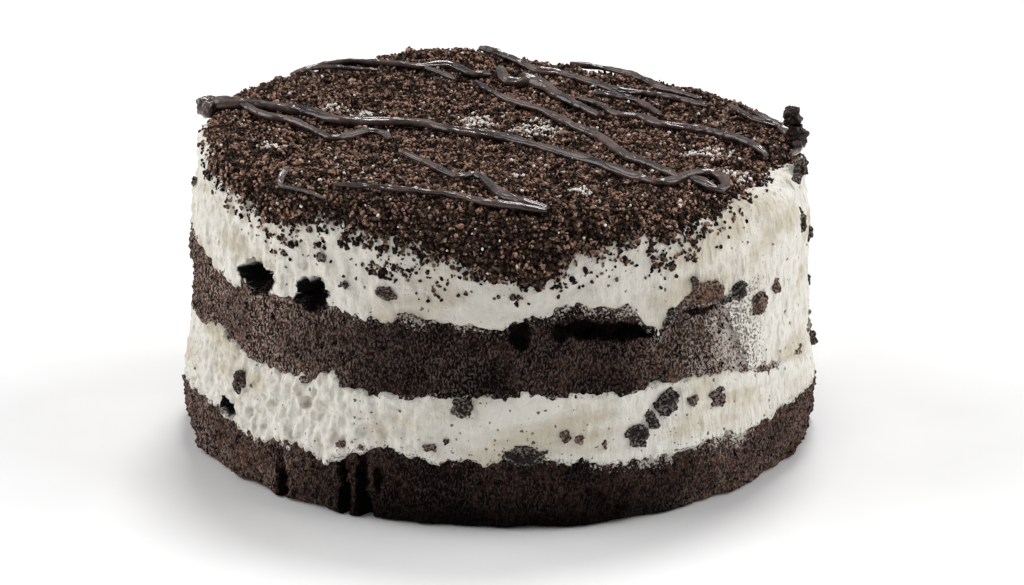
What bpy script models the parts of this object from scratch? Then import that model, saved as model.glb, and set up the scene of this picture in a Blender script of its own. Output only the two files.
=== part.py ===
"""A round cookies and cream ice cream cake: two sponge layers, two ice cream layers, a crumb blanket with
chocolate drizzle, and cookie chunks set in the side. It stands on the XY plane, centred on the Z axis, and
its front faces -Y. Lengths in the constants are millimetres; angles run from the front towards +X."""

import math
import random

import bmesh
import bpy
from mathutils import Matrix, Vector, noise
from mathutils.geometry import delaunay_2d_cdt
from numpy import interp

MM = 0.001
COLUMNS = 72
HIDDEN_COLUMNS = 24
LAYER_GAP = 0.3

# The cake's outline as (height, radius): it bulges at the base layer and narrows to the rim.
SIDE_HEIGHTS = (0, 5, 12, 18, 28, 36, 50, 62, 70, 76, 92)
SIDE_RADII = (88.2, 89.3, 90.0, 89.9, 88.9, 87.6, 87.1, 87.2, 86.4, 85.4, 84.8)
FOOT_ROUNDING = 1.6

# Where each layer meets the next at the side, as (angle, height).
BASE_TOP = ((-180, 16), (-135, 17.5), (-90, 15.5), (-71, 18.2), (-60, 18.3), (-53, 15.9), (-46, 14.2),
            (-42.5, 16.6), (-38, 16), (-31, 15.4), (-26, 19), (-18, 20.6), (-11, 18.7), (-4, 19.2), (1, 20.2),
            (9, 19.2), (16, 17), (25, 16.4), (36, 18.4), (46, 17), (58, 18), (71, 17.6), (90, 15), (135, 15.5))
LOWER_TOP = ((-180, 35), (-135, 33.5), (-90, 36), (-71, 38.3), (-60, 38), (-50, 36.4), (-40, 35.6),
             (-35.5, 35.4), (-31.5, 38), (-28, 34.8), (-20, 34.2), (-12, 36), (0, 36.7), (6, 36.9), (12, 35.2),
             (28, 35.1), (37, 35.6), (42.5, 36.8), (49, 33), (61, 29.8), (76, 29.5), (90, 32), (135, 36))
MIDDLE_TOP = ((-180, 57), (-135, 56), (-90, 60), (-71, 60.8), (-63, 57.2), (-55, 57.2), (-43, 57.6),
              (-30, 57.8), (-24, 56.4), (-16, 57.6), (-9, 57.6), (-3, 56.3), (1, 56.6), (5, 59), (8.5, 58.8),
              (13, 61.4), (18, 60.4), (23, 58.8), (28, 57.5), (33, 58.2), (38, 60), (43, 59), (60, 60),
              (90, 58), (135, 55))

# The share of the middle sponge's side that the upper ice cream is smeared over, as (angle, share).
SMEAR = ((-180, 0.05), (-60, 0.05), (10, 0.05), (24, 0.08), (28.5, 0.38), (32.5, 0.08), (39, 0.05),
         (42.5, 0.1), (46, 0.5), (49, 1.0), (100, 1.0), (108, 0.5), (116, 0.05))
SMEAR_THICKNESS = 2.2
SMEAR_LEAST = 0.8

# The upper ice cream's top: a slope down to +X, a hump at the back left, and a shoulder round the edge.
TOP_HEIGHT = 82.0
TOP_SLOPE = -0.048
HUMP_HEIGHT = 4.5
HUMP_AT = (-17, 80)
HUMP_SPREAD = 18.0
SHOULDER_SIDE = 6.0
SHOULDER_FRONT = 15.0

# How far the crumb blanket goes past the flat of the top, along the surface, as (angle, distance).
CRUMB_EDGE = ((-180, 4.5), (-140, 5), (-94, 3.5), (-76, 4.2), (-69, 9), (-60, 12), (-50, 14), (-42, 18),
              (-34, 13.5), (-27, 15.5), (-17, 18.5), (-8, 21.5), (3, 26.5), (9, 24), (14, 18.5), (25, 14.5),
              (31, 15), (44, 9), (51, 4.8), (60, 2), (76, -2.5), (81, 1.5), (87, 5), (100, 6), (145, 5.5))
CRUMB_LEAST_BAND = 3.0
BARE_BAND = 1.6
CRUMB_CLEAR = 0.4
CRUMB_THICKNESS = 3.2
CRUMB_EDGE_THICKNESS = 1.5
CRUMB_TAPER = 9.0
CRUMB_SPACING = 5.6
CRUMB_BUMP = 0.7

# Chocolate strands over the crumbs: half width, then the way each takes across the top as (x, y).
THIN, BROAD, POOLED = 1.6, 2.0, 2.5
STRANDS = (
    (BROAD, ((-84, 17), (-77, 12), (-66, 8), (-54, 4), (-44, -4), (-32, -2), (-21, -3), (-14, -8), (-1, -12),
             (13, -23), (25, -34), (38, -49), (44, -51), (51, -41), (58, -40), (61, -50), (56, -55), (52, -47))),
    (BROAD, ((-73, 10), (-65, -2), (-58, -6), (-51, -15), (-45, -22), (-37, -14), (-32, -15), (-30, -21))),
    (BROAD, ((-27, -32), (-20, -42), (-12, -54), (-6, -53), (-1, -66), (3, -73), (12, -77))),
    (THIN, ((-56, -54), (-57, -60), (-52, -64), (-45, -69))),
    (BROAD, ((-43, -65), (-35, -67), (-21, -70), (-10, -73), (-3, -76), (12, -78))),
    (BROAD, ((-62, 58), (-52, 62), (-43, 61), (-31, 58), (-24, 56), (-15, 58), (-8, 52), (-3, 53))),
    (THIN, ((-55, 57), (-47, 55), (-36, 53))),
    (THIN, ((-22, 55), (-17, 51), (-13, 46))),
    (POOLED, ((0, 59), (2, 49), (10, 48), (14, 43), (17, 35), (22, 26), (28, 15))),
    (BROAD, ((-6, 76), (3, 70), (11, 62), (18, 61), (27, 53), (34, 45), (43, 43), (52, 38), (60, 31))),
    (THIN, ((28, 41), (35, 38), (40, 33), (46, 18))),
    (THIN, ((22, 34), (28, 28), (33, 18), (40, 16), (45, 9), (54, 6), (65, -2), (73, -15))),
    (BROAD, ((-7, 46), (-3, 37), (4, 27), (12, 18), (20, 4), (27, -7), (34, -26), (38, -31), (48, -46))),
    (THIN, ((21, 76), (33, 73), (43, 59), (47, 51), (58, 40))),
    (THIN, ((66, 34), (72, 20), (79, 15))),
    (THIN, ((73, 28), (78, 19), (80, 17))),
    (BROAD, ((79, 12), (82, 5), (83, -5), (80, -12))),
)
STRAND_STEP = 6.2
STRAND_SIDES = 6
STRAND_RISE = 0.6
STRAND_FLATTENING = 0.8

# Lumps at the strands' ends: angle, distance from the axis, height, half width, half depth and half height.
LUMPS = (
    (-100, 84.2, 88.3, 3.0, 2.6, 3.1),
    (92, 83.0, 82.0, 2.9, 2.8, 3.4),
    (93.5, 82.2, 87.2, 3.0, 2.4, 2.8),
)

# Hollows in the side: angle, height, then half width, half height and depth.
CAVES = (
    ("upper_ice_cream middle_sponge", -48.5, 60.0, 6.8, 4.2, 7.0),
    ("upper_ice_cream middle_sponge", -35, 59.2, 4.6, 4.4, 6.0),
    ("middle_sponge", 18.5, 52.6, 13.5, 2.4, 5.0),
    ("base_sponge lower_ice_cream", -56.8, 20.2, 4.2, 2.3, 4.0),
    ("lower_ice_cream", -35.8, 29.0, 2.6, 1.6, 1.8),
    ("base_sponge", -41.6, 7.5, 1.8, 5.5, 3.2),
    ("base_sponge", -28, 7.6, 1.5, 6.0, 3.5),
    ("base_sponge", -24.2, 8.0, 1.9, 6.4, 3.2),
)

# Cookie chunks in the side: the layers each is set in, angle, height, half width, half height, half depth,
# how far it stands out, and its turn in degrees.
CHUNKS = (
    ("lower_ice_cream", -6.5, 33.2, 2.7, 2.5, 2.3, 0.7, 0),
    ("lower_ice_cream base_sponge", 4, 20.8, 5.8, 2.5, 2.6, 0.8, 4),
    ("lower_ice_cream", 23.6, 23.7, 4.0, 3.4, 3.0, 0.9, 12),
    ("lower_ice_cream", 30.2, 30.2, 3.9, 3.5, 3.0, 0.9, -20),
    ("lower_ice_cream", 41, 29.0, 3.4, 3.0, 2.4, 0.6, 8),
    ("upper_ice_cream middle_sponge", 38.8, 58.4, 6.2, 3.6, 3.0, 1.0, 6),
    ("upper_ice_cream middle_sponge", 47.4, 56.2, 2.8, 2.5, 2.2, 0.8, 0),
    ("upper_ice_cream middle_sponge", 53.6, 50.4, 2.7, 3.2, 2.2, 0.8, 10),
    ("upper_ice_cream", 72.6, 65.2, 1.9, 3.6, 2.2, 0.8, -6),
    ("upper_ice_cream", -20, 62.9, 2.8, 1.6, 1.8, 0.8, 8),
    ("lower_ice_cream", -53, 28.6, 2.2, 3.5, 2.2, 0.6, 14),
)
POCKET_GAP = 0.3
CHUNK_SQUARING = 0.85

# How rough the layers' sides are: the push in or out, and the size of the swells.
SPONGE_RELIEF = (2.2, 9.0)
CREAM_RELIEF = (1.1, 14.0)


def at(degrees, radius, height):
    """The point at an angle from the front, a distance from the axis and a height."""
    turn = math.radians(degrees)
    return Vector((radius * math.sin(turn), -radius * math.cos(turn), height))


def around(knots, degrees):
    """The value of a smooth closed curve through (angle, value) knots."""
    first = knots[0][0]
    degrees = (degrees - first) % 360 + first
    ends = [knot[0] for knot in knots[1:]] + [first + 360]
    i = next(k for k, end in enumerate(ends) if degrees < end)
    share = (degrees - knots[i][0]) / (ends[i] - knots[i][0])
    a, b = knots[i - 1][1], knots[i][1]
    c, d = knots[(i + 1) % len(knots)][1], knots[(i + 2) % len(knots)][1]
    bend = 2 * a - 5 * b + 4 * c - d + share * (3 * (b - c) + d - a)
    return b + 0.5 * share * (c - a + share * bend)


def side_radius(height):
    return float(interp(height, SIDE_HEIGHTS, SIDE_RADII))


def rough(degrees, height, amount, size):
    """A smooth random push in or out, with swells of the given size."""
    return amount * noise.noise(at(degrees, side_radius(height), height) / size)


def crown(x, y):
    """The height of the upper ice cream's top, inside its shoulder."""
    away = (x - HUMP_AT[0]) ** 2 + (y - HUMP_AT[1]) ** 2
    return TOP_HEIGHT + TOP_SLOPE * x + HUMP_HEIGHT * math.exp(-away / (2 * HUMP_SPREAD ** 2))


def shoulder(degrees):
    """The shoulder's rounding, its flat radius and its top height at an angle."""
    front = max(0.0, math.cos(math.radians(degrees)))
    rounding = SHOULDER_SIDE + (SHOULDER_FRONT - SHOULDER_SIDE) * front ** 2
    edge = at(degrees, SIDE_RADII[-1] - rounding, 0)
    flat = side_radius(crown(edge.x, edge.y) - rounding) - rounding
    edge = at(degrees, flat, 0)
    return rounding, flat, crown(edge.x, edge.y)


def over_top(degrees, way, lift=0.0):
    """The point that lies a way out from the centre along the upper ice cream's surface, lifted off it."""
    rounding, flat, top = shoulder(degrees)
    quarter = 0.5 * math.pi * rounding
    if way <= flat:
        point = at(degrees, way, 0)
        return Vector((point.x, point.y, crown(point.x, point.y) + lift))
    if way <= flat + quarter:
        turn = (way - flat) / rounding
        reach = rounding + lift
        return at(degrees, flat + reach * math.sin(turn), top - rounding + reach * math.cos(turn))
    height = top - rounding - (way - flat - quarter)
    return at(degrees, side_radius(height) + lift, height)


def crumb_reach(degrees):
    """How far out along the surface the crumb blanket goes."""
    return shoulder(degrees)[1] + around(CRUMB_EDGE, degrees)


def blanket_lift(degrees, way):
    """The crumb blanket's thickness, which thins towards its edge."""
    inward = min(1.0, (crumb_reach(degrees) - way) / CRUMB_TAPER)
    return CRUMB_EDGE_THICKNESS + (CRUMB_THICKNESS - CRUMB_EDGE_THICKNESS) * inward


def on_blanket(x, y, rise):
    """The point that stands a rise above the blanket, over a place given in plan."""
    degrees = math.degrees(math.atan2(x, -y))
    rounding, flat, _ = shoulder(degrees)
    out = math.hypot(x, y) - flat
    bend = math.asin(min(1.0, max(0.0, out) / (rounding + CRUMB_THICKNESS)))
    way = min(flat + min(0.0, out) + rounding * bend, crumb_reach(degrees) - 1.0)
    return over_top(degrees, way, blanket_lift(degrees, way) + rise)


def ring(count, place):
    """Points all round the axis, placed by a function of the angle."""
    return [place(360 * i / count) for i in range(count)]


def join(mesh, outer, inner):
    """Triangles between two rings, the first with a whole multiple of the second's points."""
    step = len(outer) // len(inner)
    for i, a in enumerate(outer):
        b = outer[(i + 1) % len(outer)]
        c = inner[i // step]
        mesh.faces.new((a, b, c))
        if len(inner) > 1 and (i + 1) % step == 0:
            mesh.faces.new((b, inner[(i + 1) // step % len(inner)], c))


def skin(mesh, rings):
    """Joins rings in order, from one ring to the next, and returns their vertices."""
    made = [[mesh.verts.new(point * MM) for point in points] for points in rings]
    for a, b in zip(made, made[1:]):
        join(mesh, *((a, b) if len(a) >= len(b) else (b, a)))
    return made


def across(rim, lift=0.0):
    """Rings that carry a layer's rim heights in to the middle, where a layer meets the next."""
    mean = sum(rim(360 * i / COLUMNS) for i in range(COLUMNS)) / COLUMNS
    radius = 0.8 * side_radius(mean)

    def inner(degrees):
        return at(degrees, radius, mean + 0.5 * (rim(degrees) - mean) + lift)

    return [ring(HIDDEN_COLUMNS, inner), [Vector((0, 0, mean + lift))]]


def side_rings(low, high, bands, relief):
    """Rings up a layer's side between two heights, with rough relief."""
    def row(share):
        def place(degrees):
            height = low(degrees) + share * (high(degrees) - low(degrees))
            return at(degrees, side_radius(height) + rough(degrees, height, *relief), height)
        return ring(COLUMNS, place)
    return [row(i / bands) for i in range(bands + 1)]


def material(name, colour, roughness):
    made = bpy.data.materials.new(name)
    made.use_nodes = True
    shader = made.node_tree.nodes["Principled BSDF"]
    shader.inputs["Base Color"].default_value = (*colour, 1.0)
    shader.inputs["Roughness"].default_value = roughness
    made.diffuse_color = (*colour, 1.0)
    return made


def sponge_material():
    """Dark chocolate sponge."""
    return material("chocolate_sponge", (0.045, 0.022, 0.013), 0.9)


def ice_cream_material():
    """Cookies and cream ice cream."""
    return material("ice_cream", (0.76, 0.71, 0.62), 0.5)


def crumb_material():
    """Crushed chocolate cookie."""
    return material("cookie_crumb", (0.06, 0.036, 0.026), 0.85)


def chunk_material():
    """Broken chocolate cookie."""
    return material("cookie_chunk", (0.022, 0.014, 0.012), 0.8)


def finish(name, mesh, slot):
    """Makes an object of a closed bmesh."""
    bmesh.ops.recalc_face_normals(mesh, faces=mesh.faces)
    data = bpy.data.meshes.new(name)
    mesh.to_mesh(data)
    mesh.free()
    data.materials.append(slot)
    made = bpy.data.objects.new(name, data)
    bpy.context.scene.collection.objects.link(made)
    return made


def shade_round(piece):
    """Smooth shading, with hard edges where the faces turn sharply."""
    piece.data.polygons.foreach_set("use_smooth", [True] * len(piece.data.polygons))
    piece.data.set_sharp_from_angle(angle=math.radians(50))


def squared(value, power):
    return math.copysign(abs(value) ** power, value)


def lump(name, degrees, radius, height, half, turn, power, slot):
    """A rugged lump: half is its half width, half depth and half height, and a power under 1 squares it."""
    mesh = bmesh.new()
    bmesh.ops.create_icosphere(mesh, subdivisions=2, radius=1)
    seat = Matrix.Rotation(math.radians(degrees), 4, "Z") @ Matrix.Translation((0, -radius, height))
    seat = seat @ Matrix.Rotation(math.radians(turn), 4, "Y")
    for vertex in mesh.verts:
        bump = 1 + 0.3 * noise.noise(vertex.co * 1.7 + Vector((degrees, height, 0)))
        shaped = Vector([squared(axis, power) * bump * size for axis, size in zip(vertex.co, half)])
        vertex.co = (seat @ shaped) * MM
    return finish(name, mesh, slot)


def reshape(target, others, operation):
    """Applies one Boolean of all the other objects to the target."""
    group = bpy.data.collections.new(target.name + "_tools")
    bpy.context.scene.collection.children.link(group)
    for other in others:
        group.objects.link(other)
    change = target.modifiers.new("reshape", "BOOLEAN")
    change.operation = operation
    change.operand_type = "COLLECTION"
    change.collection = group
    change.solver = "MANIFOLD"
    bpy.context.view_layer.update()
    graph = bpy.context.evaluated_depsgraph_get()
    shaped = bpy.data.meshes.new_from_object(target.evaluated_get(graph))
    target.modifiers.clear()
    target.data = shaped
    bpy.data.collections.remove(group)


def base_rim(degrees):
    return around(BASE_TOP, degrees)


def lower_rim(degrees):
    return around(LOWER_TOP, degrees)


def middle_rim(degrees):
    return around(MIDDLE_TOP, degrees)


def above(rim):
    """The height a gap above a rim."""
    return lambda degrees: rim(degrees) + LAYER_GAP


def smear_foot(degrees):
    """The lowest height that the upper ice cream reaches over the middle sponge's side."""
    side = middle_rim(degrees) - lower_rim(degrees) - 1.4
    share = min(1.0, max(0.0, around(SMEAR, degrees)))
    return above(middle_rim)(degrees) - max(SMEAR_LEAST, share * side)


def smear_thickness(degrees):
    covered = min(1.0, max(0.0, around(SMEAR, degrees)))
    return 1.2 + (SMEAR_THICKNESS - 1.2) * covered


def sponge_step(degrees):
    """The height where the middle sponge draws in behind the smear, a gap under the smear's slanting edge."""
    run = math.radians(2) * side_radius(50)
    slant = (smear_foot(degrees + 1) - smear_foot(degrees - 1)) / run
    return smear_foot(degrees) - LAYER_GAP * math.hypot(1.0, slant) - 0.05


def behind_smear(degrees, height):
    """The middle sponge's edge where the smear covers it."""
    return at(degrees, side_radius(height) - smear_thickness(degrees) - LAYER_GAP, height)


def make_base(slot):
    """The bottom sponge, with a rounded foot."""
    mesh = bmesh.new()
    foot = ring(COLUMNS, lambda degrees: at(degrees, SIDE_RADII[0] - FOOT_ROUNDING, 0))
    rings = side_rings(lambda degrees: FOOT_ROUNDING, base_rim, 3, SPONGE_RELIEF)
    made = skin(mesh, [foot] + rings + across(base_rim))
    mesh.faces.new(made[0])
    return finish("base_sponge", mesh, slot)


def make_lower(slot):
    """The lower ice cream."""
    mesh = bmesh.new()
    under = across(base_rim, LAYER_GAP)
    rings = side_rings(above(base_rim), lower_rim, 3, CREAM_RELIEF)
    skin(mesh, under[::-1] + rings + across(lower_rim))
    return finish("lower_ice_cream", mesh, slot)


def make_middle(slot):
    """The middle sponge, drawn in where the upper ice cream is smeared over it."""
    mesh = bmesh.new()
    under = across(lower_rim, LAYER_GAP)
    rings = side_rings(above(lower_rim), sponge_step, 3, SPONGE_RELIEF)
    step = ring(COLUMNS, lambda degrees: behind_smear(degrees, sponge_step(degrees)))
    rim = ring(COLUMNS, lambda degrees: behind_smear(degrees, middle_rim(degrees)))
    skin(mesh, under[::-1] + rings + [step, rim] + across(middle_rim))
    return finish("middle_sponge", mesh, slot)


def inner_way(degrees):
    """How far out the top's plain rings go: to the shoulder, or short of the crumb blanket's edge."""
    return min(shoulder(degrees)[1], crumb_reach(degrees) - CRUMB_LEAST_BAND)


def bare_way(degrees):
    """How far out the bare side starts: at the shoulder's end, and past the crumb blanket."""
    rounding, flat, _ = shoulder(degrees)
    return max(flat + 0.5 * math.pi * rounding, crumb_reach(degrees) + BARE_BAND)


def top_rings(lift=0.0):
    """Rings over the upper ice cream's top, from the middle to the crumb blanket's edge."""
    rings = [[over_top(0, 0, lift)]]
    for count, share in ((12, 0.38), (36, 0.72), (COLUMNS, 1.0)):
        rings.append(ring(count, lambda d, share=share: over_top(d, share * inner_way(d), lift)))
    for share in (1 / 3, 2 / 3, 1.0):
        def place(degrees, share=share):
            start = inner_way(degrees)
            return over_top(degrees, start + share * (crumb_reach(degrees) - start), lift)
        rings.append(ring(COLUMNS, place))
    return rings


def make_upper(slot):
    """The upper ice cream, with its smear over the middle sponge."""
    mesh = bmesh.new()
    top = top_rings()
    edge = ring(COLUMNS, lambda degrees: over_top(degrees, 0.5 * (crumb_reach(degrees) + bare_way(degrees))))
    side = side_rings(smear_foot, lambda degrees: over_top(degrees, bare_way(degrees)).z, 3, CREAM_RELIEF)

    def inside(height):
        return lambda degrees: at(degrees, side_radius(height(degrees)) - smear_thickness(degrees), height(degrees))

    lip = [ring(COLUMNS, inside(height)) for height in (smear_foot, above(middle_rim))]
    skin(mesh, top + [edge] + side[::-1] + lip + across(middle_rim, LAYER_GAP))
    return finish("upper_ice_cream", mesh, slot)


def crumb_points(dice):
    """Scattered points of the flattened blanket, well inside its edge."""
    points = []
    rows = int(110 / CRUMB_SPACING)
    for row in range(-rows, rows + 1):
        for column in range(-rows, rows + 1):
            x = (column + 0.5 * (row % 2) + dice.uniform(-0.28, 0.28)) * CRUMB_SPACING
            y = (row + dice.uniform(-0.28, 0.28)) * CRUMB_SPACING * math.sqrt(0.75)
            if math.hypot(x, y) < crumb_reach(math.degrees(math.atan2(x, -y))) - 0.6 * CRUMB_SPACING:
                points.append(Vector((x, y)))
    return points


def make_blanket(slot):
    """The crumb blanket, bumpy on top and clear of the ice cream below."""
    dice = random.Random(7)
    mesh = bmesh.new()
    under = skin(mesh, top_rings(CRUMB_CLEAR))
    edge = ring(COLUMNS, lambda degrees: at(degrees, crumb_reach(degrees), 0).xy)
    loop = list(range(COLUMNS))
    found = delaunay_2d_cdt(edge + crumb_points(dice), [], [loop], 1, 1e-5)
    placed = []
    for flat, sources in zip(found[0], found[3]):
        degrees, reach = math.degrees(math.atan2(flat.x, -flat.y)), flat.length
        lift = blanket_lift(degrees, reach)
        if min(sources) >= COLUMNS:
            lift += dice.uniform(-CRUMB_BUMP, CRUMB_BUMP)
        placed.append(mesh.verts.new(over_top(degrees, reach, lift) * MM))
    for face in found[2]:
        mesh.faces.new([placed[i] for i in face])
    rim = {min(sources): vertex for vertex, sources in zip(placed, found[3]) if min(sources) < COLUMNS}
    join(mesh, [rim[i] for i in loop], under[-1])
    return finish("crumb_topping", mesh, slot)


def smooth_way(corners):
    """Evenly stepped points on a smooth line through corners, and the line's direction at each."""
    ends = [2 * Vector(corners[0]) - Vector(corners[1])] + [Vector(corner) for corner in corners]
    ends.append(2 * ends[-1] - ends[-2])
    fine = []
    for a, b, c, d in zip(ends, ends[1:], ends[2:], ends[3:]):
        for i in range(16):
            share = i / 16
            bend = 2 * a - 5 * b + 4 * c - d + share * (3 * (b - c) + d - a)
            fine.append(b + 0.5 * share * (c - a + share * bend))
    fine.append(ends[-2])
    picked, walked = [fine[0]], 0.0
    for before, after in zip(fine, fine[1:]):
        walked += (after - before).length
        if walked >= STRAND_STEP:
            picked.append(after)
            walked = 0.0
    picked[-1] = fine[-1]
    return picked


def make_strand(index, half_width, corners, slot):
    """One chocolate strand lying on the crumbs."""
    mesh = bmesh.new()
    way = smooth_way(corners)
    rings = []
    middles = [on_blanket(*point, STRAND_RISE) for point in way]
    for i, middle in enumerate(middles):
        up = (on_blanket(*way[i], STRAND_RISE + 1) - middle).normalized()
        heading = middles[min(i + 1, len(way) - 1)] - middles[max(i - 1, 0)]
        side = heading.cross(up).normalized()
        taper = 0.6 if i in (0, len(way) - 1) else 1 + 0.16 * noise.noise(middle / 6 + Vector((0, 0, index)))
        out, rise = side * half_width * taper, up * half_width * taper * STRAND_FLATTENING
        turns = [2 * math.pi * (k + 0.5) / STRAND_SIDES for k in range(STRAND_SIDES)]
        rings.append([middle + out * math.cos(turn) + rise * math.sin(turn) for turn in turns])
    made = skin(mesh, rings)
    mesh.faces.new(made[0])
    mesh.faces.new(made[-1])
    return finish(f"strand_{index}", mesh, slot)


def make_topping(slot):
    """The crumb blanket with the chocolate strands and their lumps joined to it."""
    blanket = make_blanket(slot)
    extras = [make_strand(i, width, way, slot) for i, (width, way) in enumerate(STRANDS)]
    for i, (degrees, radius, height, *half) in enumerate(LUMPS):
        extras.append(lump(f"lump_{i}", degrees, radius, height, half, 0, CHUNK_SQUARING, slot))
    reshape(blanket, extras, "UNION")
    for extra in extras:
        bpy.data.objects.remove(extra)
    return blanket


def chunk_lump(name, row, grow, slot):
    """A cookie chunk, or the pocket for it when grown."""
    _, degrees, height, half_width, half_height, half_depth, out, turn = row
    radius = side_radius(height) + out - half_depth
    half = (half_width + grow, half_depth + grow, half_height + grow)
    return lump(name, degrees, radius, height, half, turn, CHUNK_SQUARING, slot)


def hollow_out(layers, slot):
    """Cuts the caves and the chunks' pockets out of the layers."""
    tools = []
    for i, (names, degrees, height, half_width, half_height, depth) in enumerate(CAVES):
        half = (half_width, depth, half_height)
        cave = lump(f"cave_{i}", degrees, side_radius(height) + 0.3, height, half, 0, 1.0, slot)
        tools.append((names, cave))
    for i, row in enumerate(CHUNKS):
        tools.append((row[0], chunk_lump(f"pocket_{i}", row, POCKET_GAP, slot)))
    for layer in layers:
        mine = [tool for names, tool in tools if layer.name in names.split()]
        reshape(layer, mine, "DIFFERENCE")
    for _, tool in tools:
        bpy.data.objects.remove(tool)


def main():
    for old in list(bpy.data.objects):
        bpy.data.objects.remove(old)
    sponge, cream = sponge_material(), ice_cream_material()
    chunk_slot = chunk_material()
    layers = [make_base(sponge), make_lower(cream), make_middle(sponge), make_upper(cream)]
    hollow_out(layers, chunk_slot)
    topping = make_topping(crumb_material())
    chunks = [chunk_lump(f"cookie_chunk_{i + 1}", row, 0, chunk_slot) for i, row in enumerate(CHUNKS)]
    for piece in layers + [topping]:
        shade_round(piece)
    for chunk in chunks:
        shade_round(chunk)


main()
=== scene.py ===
"""The looks of a round cookies and cream ice cream cake, laid out as a Blender add-on and run as a script.
Lengths in the constants and in the shape functions are millimetres; angles run from the front towards +X."""

import math

import bmesh
import bpy
from mathutils import Matrix, Vector, kdtree, noise
from numpy import interp


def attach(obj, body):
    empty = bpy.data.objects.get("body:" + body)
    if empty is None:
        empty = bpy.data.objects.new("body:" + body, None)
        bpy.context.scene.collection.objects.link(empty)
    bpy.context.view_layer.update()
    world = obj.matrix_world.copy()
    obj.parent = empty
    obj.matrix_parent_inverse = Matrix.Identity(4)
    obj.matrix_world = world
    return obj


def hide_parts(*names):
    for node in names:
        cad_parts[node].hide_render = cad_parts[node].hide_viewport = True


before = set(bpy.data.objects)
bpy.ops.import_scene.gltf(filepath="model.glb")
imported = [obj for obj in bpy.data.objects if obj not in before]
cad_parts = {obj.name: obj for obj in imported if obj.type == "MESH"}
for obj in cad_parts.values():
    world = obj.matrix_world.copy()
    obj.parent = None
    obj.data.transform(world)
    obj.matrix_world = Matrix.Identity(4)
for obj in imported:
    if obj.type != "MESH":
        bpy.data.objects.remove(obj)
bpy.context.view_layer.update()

bl_info = {
    "name": "Cookies and Cream Ice Cream Cake",
    "version": (1, 0, 0),
    "blender": (4, 5, 0),
    "location": "View3D > Sidebar > Cake",
    "description": "Dresses a layered cake with sponge, ice cream, cookie crumbs and chocolate drizzle",
    "category": "Add Mesh",
}

MM = 0.001

# The cake's outline as (height, radius), as in its solids.
SIDE_HEIGHTS = (0, 5, 12, 18, 28, 36, 50, 62, 70, 76, 92)
SIDE_RADII = (88.2, 89.3, 90.0, 89.9, 88.9, 87.6, 87.1, 87.2, 86.4, 85.4, 84.8)
FOOT_ROUNDING = 1.6
SPONGE_RELIEF = (2.2, 9.0)
CREAM_RELIEF = (1.1, 14.0)

# Where each layer meets the next at the side, as (angle, height).
BASE_TOP = ((-180, 16), (-135, 17.5), (-90, 15.5), (-71, 18.2), (-60, 18.3), (-53, 15.9), (-46, 14.2),
            (-42.5, 16.6), (-38, 16), (-31, 15.4), (-26, 19), (-18, 20.6), (-11, 18.7), (-4, 19.2),
            (1, 20.2), (9, 19.2), (16, 17), (25, 16.4), (36, 18.4), (46, 17), (58, 18), (71, 17.6),
            (90, 15), (135, 15.5))
LOWER_TOP = ((-180, 35), (-135, 33.5), (-90, 36), (-71, 38.3), (-60, 38), (-50, 36.4), (-40, 35.6),
             (-35.5, 35.4), (-31.5, 38), (-28, 34.8), (-20, 34.2), (-12, 36), (0, 36.7), (6, 36.9),
             (12, 35.2), (28, 35.1), (37, 35.6), (42.5, 36.8), (49, 33), (61, 29.8), (76, 29.5), (90, 32),
             (135, 36))
MIDDLE_TOP = ((-180, 57), (-135, 56), (-90, 60), (-71, 60.8), (-63, 57.2), (-55, 57.2), (-43, 57.6),
              (-30, 57.8), (-24, 56.4), (-16, 57.6), (-9, 57.6), (-3, 56.3), (1, 56.6), (5, 59), (8.5, 58.8),
              (13, 61.4), (18, 60.4), (23, 58.8), (28, 57.5), (33, 58.2), (38, 60), (43, 59), (60, 60),
              (90, 58), (135, 55))

# The share of the middle sponge's side that the upper ice cream is smeared over, as (angle, share).
SMEAR = ((-180, 0.05), (-60, 0.05), (10, 0.05), (24, 0.08), (28.5, 0.38), (32.5, 0.08), (39, 0.05),
         (42.5, 0.1), (46, 0.5), (49, 1.0), (100, 1.0), (108, 0.5), (116, 0.05))
SMEAR_THICKNESS = 2.2
SMEAR_LEAST = 0.8

# How far ice cream is rubbed down over each sponge's side from its top, as (angle, distance), how densely at
# most, and how densely to begin with and with each millimetre.
BASE_HAZE = ((-180, 1.5), (-60, 1.5), (-10, 1.5), (18, 3), (32, 6.5), (44, 8), (56, 1.5), (90, 2), (135, 2))
MIDDLE_HAZE = ((-180, 2), (-70, 2), (-56, 3), (-44, 1.5), (-28, 3.5), (-14, 6), (-2, 5), (8, 6), (22, 7),
               (28, 9), (34, 7), (41, 9), (60, 6), (114, 4))
MOST_HAZE = 0.76
BASE_RUBBED = (0.3, 0.08)
MIDDLE_RUBBED = (0.4, 0.03)

# Where the smear begins and ends, and from how far off sponge and cream mingle there, as angles.
MINGLING = ((25, 47, 62), (88, 105, 120))
MOST_MINGLED = 0.68

# How torn the two ice creams' sides are, as (angle, share).
LOWER_TORN = ((-180, 0.6), (-95, 0.8), (-75, 1.0), (-36, 1.0), (-20, 0.6), (0, 0.3), (45, 0.3), (70, 0.5),
              (135, 0.6))
UPPER_TORN = ((-180, 0.6), (-80, 0.6), (-55, 0.9), (-30, 0.5), (0, 0.3), (35, 0.35), (60, 0.5), (130, 0.6))

# The upper ice cream's top: a slope down to +X, a hump at the back left, and a shoulder round the edge.
TOP_HEIGHT = 82.0
TOP_SLOPE = -0.048
HUMP_HEIGHT = 4.5
HUMP_AT = (-17, 80)
HUMP_SPREAD = 18.0
SHOULDER_SIDE = 6.0
SHOULDER_FRONT = 15.0

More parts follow.
